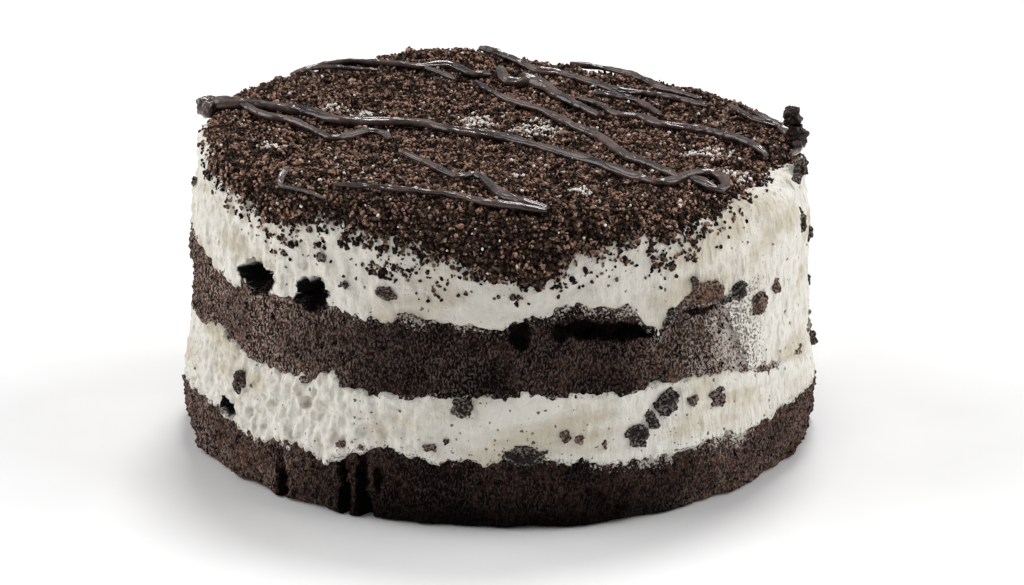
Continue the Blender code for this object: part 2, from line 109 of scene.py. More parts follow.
# How far the crumb blanket goes past the flat of the top, along the surface, as (angle, distance).
CRUMB_EDGE = ((-180, 4.5), (-140, 5), (-94, 3.5), (-76, 4.2), (-69, 9), (-60, 12), (-50, 14), (-42, 18),
              (-34, 13.5), (-27, 15.5), (-17, 18.5), (-8, 21.5), (3, 26.5), (9, 24), (14, 18.5), (25, 14.5),
              (31, 15), (44, 9), (51, 4.8), (60, 2), (76, -2.5), (81, 1.5), (87, 5), (100, 6), (145, 5.5))
CRUMB_THICKNESS = 3.2
CRUMB_EDGE_THICKNESS = 1.5
CRUMB_TAPER = 9.0

# How far past the blanket's edge loose crumbs lie, as (angle, distance).
CRUMB_FALL = ((-180, 3), (-94, 2), (-76, 3.5), (-62, 6), (-50, 6), (-38, 9), (-28, 12), (-12, 12), (-2, 5),
              (8, 5), (16, 7), (26, 11), (38, 10), (48, 7), (60, 3), (90, 3), (140, 3))
CRUMB_MIX = 8.0

# Chocolate strands over the crumbs: half width at the start and at the end, then each one's way as (x, y).
STRANDS = (
    (2.9, 1.4, ((-84, 17), (-77, 12), (-66, 8), (-54, 4), (-44, -4), (-32, -2), (-21, -3), (-14, -8),
                (-1, -12), (13, -23), (25, -34), (38, -49), (44, -51), (51, -42), (57, -40), (60, -47),
                (57, -53), (51, -46))),
    (1.6, 1.0, ((-73, 10), (-65, -2), (-58, -6), (-51, -15), (-45, -22), (-37, -14), (-32, -15),
                (-30, -21))),
    (0.8, 1.5, ((-27, -32), (-20, -42), (-12, -54), (-6, -53), (-1, -66), (3, -73), (12, -77))),
    (1.1, 0.5, ((-56, -54), (-57, -60), (-52, -64), (-45, -69))),
    (0.6, 1.3, ((-43, -65), (-35, -67), (-21, -70), (-10, -73), (-3, -76), (12, -78))),
    (1.3, 1.3, ((-62, 58), (-52, 62), (-43, 61), (-31, 58), (-24, 56), (-15, 58), (-8, 52), (-3, 53))),
    (1.0, 0.7, ((-55, 57), (-47, 55), (-36, 53))),
    (1.0, 0.8, ((-22, 55), (-17, 51), (-13, 46))),
    (1.9, 1.6, ((0, 59), (2, 49), (8, 49))),
    (3.2, 1.2, ((6, 50), (10, 48), (14, 43), (17, 35), (22, 26), (28, 15))),
    (1.4, 1.2, ((-6, 76), (3, 70), (11, 62), (18, 61), (27, 53), (34, 45), (43, 43), (52, 38), (60, 31))),
    (1.2, 1.0, ((28, 41), (35, 38), (40, 33), (46, 18))),
    (1.0, 1.5, ((22, 34), (28, 28), (33, 18), (40, 16), (45, 9), (54, 6), (65, -2), (73, -15))),
    (0.9, 1.5, ((-7, 46), (-3, 37), (4, 27), (12, 18), (20, 4), (27, -7), (34, -26), (38, -31), (48, -46))),
    (1.1, 1.1, ((21, 76), (33, 73), (43, 59), (47, 51), (58, 40))),
    (1.2, 1.1, ((66, 34), (72, 20), (79, 15))),
    (1.2, 1.0, ((73, 28), (78, 19), (80, 17))),
    (1.5, 1.2, ((79, 12), (82, 5), (83, -5), (80, -12))),
)
STRAND_RISE = 0.9
STRAND_STEP = 0.5
STRAND_WOBBLE = 0.5

# A strand's outline: its corners, how close its ridges lie and how high they are, and its height as a share
# of its width.
STRAND_CORNERS = 28
STRAND_RIDGES = 7.5
RIDGE_HEIGHT = 0.14
STRAND_HEIGHT = 0.68

# How wide a strand's ends are against its middle, which strands keep their start wide, how many corners
# make a strand long, and how fast long and short ones narrow.
STRAND_END = 0.6
WIDE_START = 2.5
LONG_STRAND = 10
NARROWING = (5, 1.3)

# Lumps at the strands' ends: angle, distance from the axis, height, half width, half depth and half height.
LUMPS = (
    (-99, 83.6, 88.0, 3.7, 3.0, 3.0),
    (92, 83.0, 82.0, 2.9, 2.8, 3.4),
    (93.5, 82.2, 87.2, 3.0, 2.4, 2.8),
)

# Patches of white filling among the crumbs, as (x, y, radius).
FLECKS = ((-38, 10, 6), (-6, 5, 7), (10, 1, 9), (57, -17, 8), (21, -61, 4), (5, -50, 2.5), (-47, 16, 4),
          (64, -36, 5), (-62, -30, 5), (30, 50, 4))

# Hollows in the side: the layers, angle, height, half width, half height and depth, how much it falls for
# each degree, and the part that is painted dark as shade, as shares of the half height.
CAVES = (
    ("upper middle", -48.5, 60.0, 6.8, 4.0, 7.0, 0, -1.4, 0.3),
    ("upper middle", -35, 59.2, 4.6, 4.4, 6.0, 0, -1.4, 0.8),
    ("middle", 18.5, 52.6, 13.0, 2.4, 5.0, 0.2, -1.4, 1.2),
    ("upper middle", 25.8, 51.2, 1.4, 1.4, 1.2, 0, -1.4, 1.2),
    ("middle", 38.3, 54.0, 5.6, 1.0, 1.4, 0.12, -1.4, 1.2),
    ("base lower", -56.8, 20.2, 4.2, 2.1, 4.0, 0, -1.4, 1.2),
    ("lower", -35.8, 29.0, 2.6, 1.6, 1.8, 0, 2, 2),
    ("lower", -22.5, 25.1, 4.0, 1.9, 1.0, 0, 2, 2),
    ("base", -41.6, 6.0, 1.9, 8.0, 3.2, 0, -1.4, 0.3),
    ("base", -28, 4.5, 1.4, 11.0, 3.5, 0.5, -1.4, 1.2),
    ("base", -24.2, 5.0, 2.0, 12.5, 3.4, -0.5, -1.4, 1.2),
    ("middle", 3.4, 53.0, 2.7, 4.0, 1.6, 0, -1.4, 1.2),
    ("middle", 10.2, 53.0, 1.7, 2.3, 1.8, 0, -1.4, 1.2),
    ("base", -21, 12.0, 1.0, 3.5, 1.6, 0, -1.4, 1.2),
)

# Cookie chunks in the side: angle, height, half width, half height, half depth, how far it stands out, its
# turn, and how brown it is.
CHUNKS = (
    (-6.5, 33.2, 2.7, 2.5, 2.3, 0.7, 0, 0.1),
    (4, 20.8, 5.8, 2.5, 2.6, 0.8, 4, 0.0),
    (23.6, 23.7, 4.0, 3.4, 3.0, 0.9, 12, 0.0),
    (30.2, 30.2, 3.9, 3.5, 3.0, 0.9, -20, 0.0),
    (41, 29.0, 3.4, 3.0, 2.4, 0.3, 8, 0.3),
    (38.8, 58.4, 6.2, 3.6, 3.0, 1.0, 6, 0.8),
    (47.4, 56.2, 2.8, 2.5, 2.2, 0.8, 0, 0.0),
    (53.6, 50.4, 2.7, 3.2, 2.2, 0.8, 10, 0.7),
    (72.6, 65.2, 1.9, 3.6, 2.2, 0.8, -6, 0.2),
    (-20, 62.9, 2.8, 1.6, 1.8, 0.8, 8, 0.3),
    (-53, 28.6, 2.2, 3.5, 2.2, 0.6, 14, 0.2),
)
CHUNK_SQUARING = 0.85
CHUNK_INSET = 0.4
BUMP_HEIGHT = 0.3
BUMPS_ACROSS = 1.7

# Smaller bits of cookie, in the same order.
BITS = (
    (59.4, 52.7, 1.8, 1.9, 1.4, 0.5, 0, 0.8),
    (35.3, 29.9, 1.6, 1.3, 1.3, 0.4, 20, 0.5),
    (27.0, 27.0, 1.7, 3.1, 1.7, 0.6, -35, 0.0),
    (11.0, 25.4, 1.5, 1.7, 1.3, 0.5, 0, 0.4),
    (13.6, 24.4, 1.4, 1.2, 1.2, 0.5, 0, 0.9),
    (17.8, 22.5, 1.1, 0.9, 1.0, 0.4, 0, 0.9),
    (31.3, 54.6, 1.5, 2.2, 1.4, 0.5, 0, 0.1),
    (36.0, 62.3, 1.4, 1.5, 1.3, 0.6, 0, 0.3),
    (43.6, 54.8, 1.6, 1.0, 1.2, 0.5, 0, 0.0),
    (80, 77.8, 2.0, 2.7, 1.8, 0.9, 10, 0.1),
    (74, 77.2, 1.6, 1.4, 1.4, 0.7, 0, 0.1),
    (84, 57.5, 0.9, 2.2, 1.2, 0.7, 0, 0.1),
    (86, 43.0, 0.9, 1.6, 1.2, 0.5, 0, 0.2),
    (85, 26.0, 1.0, 2.3, 1.3, 0.7, 0, 0.2),
    (-84, 72.0, 1.0, 1.5, 1.2, 0.6, 0, 0.1),
    (-76, 40.5, 1.0, 1.2, 1.2, 0.5, 0, 0.1),
    (-24, 20.5, 1.4, 0.8, 1.1, 0.4, 0, 0.8),
    (-28, 20.5, 1.2, 0.8, 1.0, 0.4, 10, 0.9),
    (-12, 22.3, 1.6, 0.9, 1.1, 0.4, 0, 0.6),
    (-9, 24.3, 0.8, 0.6, 0.8, 0.3, 0, 0.1),
    (-28, 63.5, 1.3, 0.8, 1.0, 0.4, 0, 0.3),
    (-41, 68.5, 1.2, 1.1, 1.1, 0.5, 0, 0.2),
    (-33, 69.5, 1.3, 1.0, 1.1, 0.5, 10, 0.2),
)

# Waves of noise, as (height, length): along the layers' edges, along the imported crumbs' edge, and round a
# hollow's rim, taken at a distance from the axis.
EDGE_WAVES = ((1.1, 5.5), (0.9, 1.7))
BED_WAVES = ((4.0, 6), (2.6, 1.9))
RIM_WAVES = ((0.55, 1.8), (0.4, 0.8))
RIM_NOISE_RADIUS = 88

# How far each layer's edge wanders.
BASE_WANDER = 0.9
LOWER_WANDER = 0.5
SMEAR_WANDER = 0.6

# How far from its middle a hollow matters, and where its painted shade fades out, as shares of its half
# width and height.
HOLLOW_REACH = 1.3
HOLLOW_SHADE = (1.45, 1.25)

# The visible skins: columns round the cake, and how far neighbouring layers run into each other.
COLUMNS = 1080
RIM_COLUMNS = 72
HIDDEN_COLUMNS = 24
ROW_STEP = 0.52
UPPER_ROWS = 92
OVERLAP = 1.3
TUCK = 1.3
SKIN_INSET = 1.1
UNDER_CRUMBS = 12.0
BED_RINGS = 158
BED_SINK = 0.55
BED_EDGE = 0.15
STRAY_FLECKS = 0.009

# Where the hidden rings lie that close the skins inside: their distances from the axis, and the height
# of the upper ice cream's core.
CLOSING_RADIUS = 0.78 * SIDE_RADII[0]
FOOT_RADIUS = 70
CAP_RADII = (45, 68)
CORE_RADIUS = 66
CORE_HEIGHT = 56

# A relief's settings, as its tree names them.
RELIEF_INPUTS = ("Swell Size", "Swell Depth", "Grain Size", "Grain Depth", "Pit Size", "Pit Depth")

# How far forward the front begins and is full; shade is painted over it on the sponge, the ice cream and the
# crumbs.
FRONT_BEGINS = -60
FRONT_FULL = -86

# Colours that no setting holds.
SPONGE_WARM = "#86604E"
# Painted shade along the foot of the bottom sponge's front.
SPONGE_FOOT_SHADE = "#060303"
CREAM_ON_SPONGE = "#CDC5BC"
CREAM_SHADE = "#A0968A"
# Darker olive-beige blotches over the torn parts of the ice cream's side.
CREAM_TORN_BLOTCH = "#ABA28A"
CREAM_RUBBED = "#A39A92"
SPECK_DARK = "#35271F"
SPECK_BROWN = "#7A4C38"
SPONGE_ON_CREAM = "#4A3B34"
FILLING_SHADE = "#DDD5CA"
FILLING = "#FBF9F5"
CREAM_ON_COOKIE = "#9A9087"
# Painted shade in the hollows of the sponge and the ice cream.
HOLLOW_PAINTED_SHADE = "#050303"
CREAM_HOLLOW_PAINTED_SHADE = "#040202"
# Painted shade in the gaps of the crumb blanket.
BED_GAP_SHADE = "#080403"
COOKIE_PIT = "#080504"

# The lamps: name, setting, direction and width in degrees.
LAMPS = (
    ("left_lamp", "left_light", (-1.0, 0.08, 0.56), 55),
    ("right_lamp", "right_light", (1.0, 0.05, 0.56), 55),
    ("top_lamp", "top_light", (0.1, 0.5, 0.9), 18),
)
SENSOR_WIDTH = 36.0
LENS_SHIFT = (0.0117, -0.0262)
FLOOR_HALF = 6.0


def linear(code):
    """A colour's linear values from its sRGB hex code."""
    values = [int(code[i:i + 2], 16) / 255 for i in (1, 3, 5)]
    return tuple(v / 12.92 if v <= 0.04045 else ((v + 0.055) / 1.055) ** 2.4 for v in values)


def length(name, text, default):
    """A length setting in metres, given in millimetres."""
    return bpy.props.FloatProperty(name=name, description=text, default=default * MM, min=0, precision=5,
                                   unit="LENGTH")


def colour(name, text, code):
    return bpy.props.FloatVectorProperty(name=name, description=text, subtype="COLOR", size=3, min=0, max=1,
                                         default=linear(code))


class CakeSizes(bpy.types.PropertyGroup):
    """Sizes of the cake's surfaces and crumbs."""
    sponge_grain: length("Sponge grain", "Width of the sponge's crumb", 1.6)
    sponge_depth: length("Sponge roughness", "Depth of the sponge's crumb", 0.45)
    tear_width: length("Tear width", "Width of the tears in the ice cream's side", 4.2)
    tear_depth: length("Tear depth", "Depth of the tears in the ice cream's side", 0.85)
    bed_grain: length("Blanket grain", "Width of the crumbs in the blanket", 1.3)
    bed_depth: length("Blanket roughness", "Depth of the relief in the blanket", 0.45)
    fine_crumb: length("Fine crumb", "Width of the finest loose crumbs", 0.6)
    small_crumb: length("Small crumb", "Width of the small loose crumbs", 0.8)
    medium_crumb: length("Medium crumb", "Width of the medium loose crumbs", 1.0)
    coarse_crumb: length("Coarse crumb", "Width of the biggest loose crumbs", 1.5)
    strand_share: bpy.props.FloatProperty(name="Strand width", description="Width of the drizzle's strands",
                                          default=1.0, min=0.5, max=1.5, subtype="FACTOR")


class CakeColours(bpy.types.PropertyGroup):
    """Colours of the cake's parts."""
    sponge_deep: colour("Sponge pores", "Darkest colour of the sponge", "#0E0807")
    sponge_main: colour("Sponge", "Main colour of the sponge", "#503B33")
    sponge_dust: colour("Sponge dust", "Dry crumb on the sponge", "#B6A299")
    cream_main: colour("Ice cream", "Main colour of the ice cream", "#E9E5DC")
    cream_warm: colour("Melted ice cream", "Colour where the ice cream has melted and set", "#D0C7B4")
    crumb_dark: colour("Dark crumb", "Darkest colour of the crumbs", "#0D0705")
    crumb_light: colour("Light crumb", "Lightest colour of the crumbs", "#C29B87")
    chocolate: colour("Chocolate", "Colour of the drizzle", "#1C100C")
    chocolate_bloom: colour("Bloom", "Colour of the frost on the drizzle", "#66524C")
    cookie: colour("Cookie", "Colour of the cookie chunks", "#241B18")
    cookie_brown: colour("Brown cookie", "Colour of the cookie chunks that show their inside", "#7E5A48")


class CakeStage(bpy.types.PropertyGroup):
    """The camera and the light."""
    distance: length("Camera distance", "From the lens to the cake's middle", 950)
    target: length("Target height", "The height that the camera looks at", 45)
    tilt: bpy.props.FloatProperty(name="Tilt", description="How far the camera looks down",
                                  default=math.radians(17.3), subtype="ANGLE")
    lens: bpy.props.FloatProperty(name="Lens", description="Focal length in millimetres", default=118.4)
    left_light: bpy.props.FloatProperty(name="Left light", description="Strength of the lamp at the left",
                                        default=1.75, min=0)
    right_light: bpy.props.FloatProperty(name="Right light", description="Strength of the lamp at the right",
                                         default=1.65, min=0)
    top_light: bpy.props.FloatProperty(name="Top light", description="Strength of the lamp above and behind",
                                       default=1.55, min=0)
    room: bpy.props.FloatProperty(name="Room", description="Brightness of the room", default=0.29, min=0)


def at(degrees, radius, height):
    """The point at an angle from the front, a distance from the axis and a height."""
    turn = math.radians(degrees)
    return Vector((radius * math.sin(turn), -radius * math.cos(turn), height))


def around(knots, degrees):
    """The value of a smooth closed curve through (angle, value) knots."""
    first = knots[0][0]
    degrees = (degrees - first) % 360 + first
    ends = [knot[0] for knot in knots[1:]] + [first + 360]
    i = next(k for k, end in enumerate(ends) if degrees < end)
    share = (degrees - knots[i][0]) / (ends[i] - knots[i][0])
    return curved(*(knots[(i + step) % len(knots)][1] for step in (-1, 0, 1, 2)), share)


def side_radius(height):
    return float(interp(height, SIDE_HEIGHTS, SIDE_RADII))


def rough(degrees, height, amount, size):
    """The same smooth push in or out as the solids have."""
    return amount * noise.noise(at(degrees, side_radius(height), height) / size)


def waves(spot, rows):
    """Noise at a spot, summed from waves given as (height, length)."""
    return sum(height * noise.noise(spot / size) for height, size in rows)


def ragged(degrees, seed, amount):
    """How far a layer's edge wanders up or down at an angle, in long and short waves."""
    return amount * waves(at(degrees, SIDE_RADII[0], 40 * seed), EDGE_WAVES)


def smooth(low, high, value):
    """A soft step from 0 at low to 1 at high."""
    share = min(1.0, max(0.0, (value - low) / (high - low)))
    return share * share * (3 - 2 * share)


def crown(x, y):
    """The height of the upper ice cream's top, inside its shoulder."""
    away = (x - HUMP_AT[0]) ** 2 + (y - HUMP_AT[1]) ** 2
    return TOP_HEIGHT + TOP_SLOPE * x + HUMP_HEIGHT * math.exp(-away / (2 * HUMP_SPREAD ** 2))


def shoulder(degrees):
    """The shoulder's rounding, its flat radius and its top height at an angle."""
    front = max(0.0, math.cos(math.radians(degrees)))
    rounding = SHOULDER_SIDE + (SHOULDER_FRONT - SHOULDER_SIDE) * front ** 2
    edge = at(degrees, SIDE_RADII[-1] - rounding, 0)
    flat = side_radius(crown(edge.x, edge.y) - rounding) - rounding
    edge = at(degrees, flat, 0)
    return rounding, flat, crown(edge.x, edge.y)


def over_top(degrees, way, lift=0.0, bend=None):
    """The point that lies a way out from the centre along the upper ice cream's surface, lifted off it."""
    rounding, flat, top = bend or shoulder(degrees)
    quarter = 0.5 * math.pi * rounding
    if way <= flat:
        point = at(degrees, way, 0)
        return Vector((point.x, point.y, crown(point.x, point.y) + lift))
    if way <= flat + quarter:
        turn = (way - flat) / rounding
        reach = rounding + lift
        return at(degrees, flat + reach * math.sin(turn), top - rounding + reach * math.cos(turn))
    height = top - rounding - (way - flat - quarter)
    return at(degrees, side_radius(height) + lift, height)


def way_down_to(degrees, height):
    """How far out along the surface a height on the side lies."""
    rounding, flat, top = shoulder(degrees)
    return flat + 0.5 * math.pi * rounding + top - rounding - height


def crumb_reach(degrees):
    """How far out along the surface the crumb blanket goes."""
    return shoulder(degrees)[1] + around(CRUMB_EDGE, degrees)


def bed_reach(degrees):
    """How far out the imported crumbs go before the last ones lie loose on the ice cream."""
    wander = waves(at(degrees, SIDE_RADII[-1], 0), BED_WAVES)
    fall = around(CRUMB_FALL, degrees)
    return crumb_reach(degrees) - 1.2 - 0.3 * fall + min(1.0, 0.3 + 0.1 * fall) * wander


def blanket_lift(way, reach):
    """The crumb blanket's thickness, which thins towards its edge."""
    inward = min(1.0, (reach - way) / CRUMB_TAPER)
    return CRUMB_EDGE_THICKNESS + (CRUMB_THICKNESS - CRUMB_EDGE_THICKNESS) * inward


def on_blanket(x, y, rise):
    """The point that stands a rise above the blanket, over a place given in plan."""
    degrees = math.degrees(math.atan2(x, -y))
    bend = shoulder(degrees)
    out = math.hypot(x, y) - bend[1]
    turn = math.asin(min(1.0, max(0.0, out) / (bend[0] + CRUMB_THICKNESS)))
    reach = crumb_reach(degrees)
    way = min(bend[1] + min(0.0, out) + bend[0] * turn, reach - 1.0)
    return over_top(degrees, way, blanket_lift(way, reach) + rise, bend)


def base_rim(degrees):
    return around(BASE_TOP, degrees) + ragged(degrees, 1, BASE_WANDER)


def lower_rim(degrees):
    return around(LOWER_TOP, degrees) + ragged(degrees, 2, LOWER_WANDER)


def smear_cover(degrees):
    """How much of the middle sponge's side the smear covers."""
    return min(1.0, max(0.0, around(SMEAR, degrees)))


def smear_foot(degrees):
    """The lowest height that the upper ice cream reaches over the middle sponge's side."""
    rim = around(MIDDLE_TOP, degrees)
    side = rim - around(LOWER_TOP, degrees) - 1.4
    return rim - max(SMEAR_LEAST, smear_cover(degrees) * side) + ragged(degrees, 3, SMEAR_WANDER)


def mingle(degrees):
    """How much sponge and smeared cream show through each other at an angle."""
    return MOST_MINGLED * max(smooth(start, middle, degrees) if degrees < middle
                              else smooth(end, middle, degrees) for start, middle, end in MINGLING)


def hollow(layer, degrees, height):
    """How deep a layer's side is hollowed at a place, and how much shade is painted there, from 0 to 1."""
    depth, dark = 0.0, 0.0
    for layers, turn, middle, half_width, half_height, deep, fall, low, high in CAVES:
        away = (degrees - turn + 180) % 360 - 180
        across = math.radians(away) * side_radius(middle) / half_width
        along = (height - middle + fall * away) / half_height
        if layer not in layers or max(abs(across), abs(along)) > HOLLOW_REACH:
            continue
        near = across * across + along * along + waves(at(degrees, RIM_NOISE_RADIUS, height), RIM_WAVES)
        depth = max(depth, deep * math.sqrt(min(1.0, max(0.0, 1 - near))))
        band = smooth(low - 0.2, low + 0.1, along) * smooth(high + 0.2, high - 0.1, along)
        dark = max(dark, smooth(*HOLLOW_SHADE, near) * band)
    return depth, dark


def ring_angles(count):
    return [360 * i / count for i in range(count)]


def circle(count, radius, height):
    return [at(d, radius, height) for d in ring_angles(count)]


def join_rings(faces, outer, inner):
    """Faces between two rings of vertex numbers, the first with a whole multiple of the second's."""
    step = len(outer) // len(inner)
    for i, a in enumerate(outer):
        b = outer[(i + 1) % len(outer)]
        c = inner[i // step]
        if step == 1:
            faces.append((a, b, inner[(i + 1) % len(inner)], c))
            continue
        faces.append((a, b, c))
        if len(inner) > 1 and (i + 1) % step == 0:
            faces.append((b, inner[(i + 1) // step % len(inner)], c))


def closed_skin(name, before, rings, after, marks, shade=1.0):
    """An object from rings of points: the visible ones with their marks, between hidden ones in the dark."""
    every = before + rings + after
    points, numbers = [], []
    for ring in every:
        numbers.append(list(range(len(points), len(points) + len(ring))))
        points.extend(ring)
    faces = []
    for a, b in zip(numbers, numbers[1:]):
        join_rings(faces, *((a, b) if len(a) >= len(b) else (b, a)))
    low, high = sum(map(len, before)), sum(map(len, after))
    filled = {}
    for mark, values in marks.items():
        hidden = float(mark == "dark")
        filled[mark] = [shade * hidden] * low + values + [hidden] * high
    return mesh_object(name, points, faces, filled)


def in_scene(name, data):
    """A new object in the scene."""
    made = bpy.data.objects.new(name, data)
    bpy.context.scene.collection.objects.link(made)
    return made


def mesh_object(name, points, faces, marks):
    """An object of points in millimetres, its faces outwards, with a named number at every point."""
    data = bpy.data.meshes.new(name)
    data.from_pydata([point * MM for point in points], [], faces)
    for mark, values in marks.items():
        data.attributes.new(mark, "FLOAT", "POINT").data.foreach_set("value", values)
    shaped = bmesh.new()
    shaped.from_mesh(data)
    bmesh.ops.recalc_face_normals(shaped, faces=shaped.faces)
    shaped.to_mesh(data)
    shaped.free()
    return in_scene(name, data)


def flat_rings(rim, height):
    """Hidden rings that close a layer from its rim in to the middle."""
    outer = [at(d, CLOSING_RADIUS + 6, 0.5 * (rim(d) + height)) for d in ring_angles(RIM_COLUMNS)]
    return [outer, circle(HIDDEN_COLUMNS, CLOSING_RADIUS, height), [Vector((0, 0, height))]]


def layer(name, part, low, high, relief, paint):
    """A layer's dense side between two edges, which runs a little into its neighbours, closed inside."""
    foot = part == "base"
    angles = ring_angles(COLUMNS)
    lows = [0.0 if foot else low(d) for d in angles]
    highs = [high(d) for d in angles]
    under = 0.0 if foot else OVERLAP
    rows = round((sum(highs) - sum(lows)) / COLUMNS / ROW_STEP) + 4
    rings, marks = [], {"skin": [], "dark": [], "haze": []}
    for row in range(rows + 1):
        ring = []
        for degrees, bottom, top in zip(angles, lows, highs):
            height = bottom - under + (top + OVERLAP - bottom + under) * row / rows
            push = -TUCK * max(0.0, height - top, bottom - height) / OVERLAP
            if foot:
                drop = max(0.0, FOOT_ROUNDING - height)
                push -= FOOT_ROUNDING - math.sqrt(FOOT_ROUNDING ** 2 - drop ** 2)
            depth, dark = hollow(part, degrees, height)
            radius = side_radius(height) + rough(degrees, height, *relief) + push - depth - SKIN_INSET
            ring.append(at(degrees, radius, height))
            skin, haze = paint(degrees, height - bottom, top - height)
            marks["skin"].append(skin * (smooth(0, FOOT_ROUNDING, height) if foot else 1))
            marks["dark"].append(dark)
            marks["haze"].append(haze)
        rings.append(ring)
    upper = flat_rings(high, sum(highs) / COLUMNS)
    if foot:
        lower = [[Vector((0, 0, 0))], circle(RIM_COLUMNS, FOOT_RADIUS, 0)]
    else:
        lower = flat_rings(low, sum(lows) / COLUMNS)[::-1]
    return closed_skin(name, lower, rings, upper, marks, 0.0 if foot else 1.0)


def rubbed_in(reach, below_high, start, more):
    """How densely ice cream is rubbed into a sponge below its top, where it reaches down so far."""
    return min(MOST_HAZE, start + more * reach) * smooth(reach, -0.5, below_high)


def base_paint(degrees, above_low, below_high):
    return 1.0, rubbed_in(around(BASE_HAZE, degrees), below_high, *BASE_RUBBED)


def middle_paint(degrees, above_low, below_high):
    rubbed = rubbed_in(around(MIDDLE_HAZE, degrees), below_high, *MIDDLE_RUBBED)
    return 1.0, max(rubbed, mingle(degrees), 0.4 * smooth(1.5, 0, above_low))


def lower_paint(degrees, above_low, below_high):
    stained = 0.55 * smooth(3.0, -0.5, above_low) + 0.3 * smooth(1.6, -0.3, below_high)
    return around(LOWER_TORN, degrees), stained


def upper_layer(name):
    """The upper ice cream's dense side, from under the crumbs down to the smear's foot, closed inside."""
    angles = ring_angles(COLUMNS)
    bends = [shoulder(d) for d in angles]
    reaches = [crumb_reach(d) for d in angles]
    falls = [around(CRUMB_FALL, d) for d in angles]
    covers = [smear_cover(d) for d in angles]
    torn = [around(UPPER_TORN, d) for d in angles]
    tops = [around(MIDDLE_TOP, d) for d in angles]
    feet = [smear_foot(d) - OVERLAP for d in angles]
    ends = [way_down_to(d, foot) for d, foot in zip(angles, feet)]
    rings, marks = [], {"skin": [], "dark": [], "haze": [], "sow": []}
    for row in range(UPPER_ROWS + 1):
        ring = []
        for i, degrees in enumerate(angles):
            start = reaches[i] - UNDER_CRUMBS
            way = start + (ends[i] - start) * row / UPPER_ROWS
            place = over_top(degrees, way, 0, bends[i])
            push = -TUCK * max(0.0, 1 - (ends[i] - way) / OVERLAP)
            bare = smooth(reaches[i], reaches[i] + 6, way)
            push += bare * (rough(degrees, place.z, *CREAM_RELIEF) - SKIN_INSET)
            depth, dark = hollow("upper", degrees, place.z)
            ring.append(over_top(degrees, way, push - depth, bends[i]))
            marks["skin"].append(torn[i] * smooth(reaches[i] - 6, reaches[i] - 2, way))
            marks["dark"].append(dark)
            over_sponge = smooth(-1.0, 2.5, tops[i] - place.z)
            edge = 0.35 * smooth(1.5, -0.5, place.z - feet[i] - OVERLAP)
            marks["haze"].append(max(edge, over_sponge * mingle(degrees) if covers[i] > 0.3 else 0.0))
            share = (way - reaches[i] + CRUMB_MIX) / (CRUMB_MIX + falls[i])
            patchiness = smooth(-0.3, 0.3, noise.noise(place / 3.2))
            spread = max(0.0, 1 - share) ** 1.5 * smooth(-0.2, 0.0, share)
            marks["sow"].append(spread * (1 - min(1.0, 2 * max(0.0, share)) * (1 - patchiness)))
        rings.append(ring)
    top = [[over_top(0, 0)], [over_top(d, CAP_RADII[0]) for d in ring_angles(HIDDEN_COLUMNS)],
           [over_top(d, min(CAP_RADII[1], shoulder(d)[1] - 6)) for d in ring_angles(RIM_COLUMNS)]]
    inside = side_radius(50) - SMEAR_THICKNESS - 1
    inner = [[at(d, inside, smear_foot(d) - OVERLAP) for d in ring_angles(RIM_COLUMNS)],
             circle(RIM_COLUMNS, inside, CORE_HEIGHT), circle(HIDDEN_COLUMNS, CORE_RADIUS, CORE_HEIGHT),
             [Vector((0, 0, CORE_HEIGHT))]]
    return closed_skin(name, top, rings, inner, marks)


def curved(a, b, c, d, share):
    """The place at a share of the way from b to c, on a smooth line through four values or points."""
    bend = 2 * a - 5 * b + 4 * c - d + share * (3 * (b - c) + d - a)
    return b + 0.5 * share * (c - a + share * bend)


def strand_way(corners):
    """Points a little apart on a smooth line through corners."""
    ends = [2 * Vector(corners[0]) - Vector(corners[1])] + [Vector(corner) for corner in corners]
    ends.append(2 * ends[-1] - ends[-2])
    fine = [curved(*four, i / 8) for four in zip(ends, ends[1:], ends[2:], ends[3:]) for i in range(8)]
    return fine + [ends[-2]]


def crumb_bed(name):
    """A hexagonal net over the top, thin at its ragged edge, closed underneath."""
    strands = [on_blanket(*spot, 0) for _, _, corners in STRANDS for spot in strand_way(corners)]
    tree = kdtree.KDTree(len(strands))
    for i, spot in enumerate(strands):
        tree.insert(spot, i)
    tree.balance()
    points, faces, marks = [], [], {"skin": [], "sow": [], "flecks": []}

    def put(point, skin):
        points.append(point)
        marks["skin"].append(skin)
        marks["sow"].append(smooth(1.0, 1.7, tree.find(point)[2]))
        near = max(1 - math.hypot(point.x - x, point.y - y) / radius for x, y, radius in FLECKS)
        marks["flecks"].append(max(0.0, near) + STRAY_FLECKS)

    put(over_top(0, 0, CRUMB_THICKNESS - BED_SINK), 1.0)
    first = 0
    for k in range(1, BED_RINGS + 1):
        start, count = len(points), 6 * k
        for i in range(count):
            degrees = 360 * i / count
            reach = crumb_reach(degrees)
            share = smooth(0.7, 1.0, k / BED_RINGS)
            way = (reach + share * (bed_reach(degrees) - reach)) * k / BED_RINGS
            thin = BED_EDGE + (1 - BED_EDGE) * smooth(BED_RINGS + 1, BED_RINGS - 6, k)
            lift = (blanket_lift(min(way, reach), reach) - BED_SINK) * thin
            put(over_top(degrees, way, lift), smooth(BED_RINGS + 1, BED_RINGS - 3, k))
        for i in range(count):
            side, j = divmod(i, k)
            a, b = start + i, start + (i + 1) % count
            inner = max(1, count - 6)
            below, beside = (first + (side * (k - 1) + j + step) % inner for step in (0, 1))
            faces.append((a, b, below))
            if j < k - 1:
                faces.append((b, beside, below))
        first = start
    under, count = len(points), 6 * BED_RINGS
    for i in range(count):
        degrees = 360 * i / count
        points.append(over_top(degrees, bed_reach(degrees) - 0.4, -0.3))
        faces.append((first + i, first + (i + 1) % count, under + (i + 1) % count, under + i))
        faces.append((under + i, under + (i + 1) % count, under + count))
    points.append(over_top(0, 0, -0.5))
    for values in marks.values():
        values.extend([0.0] * (len(points) - len(values)))
    return mesh_object(name, points, faces, marks)


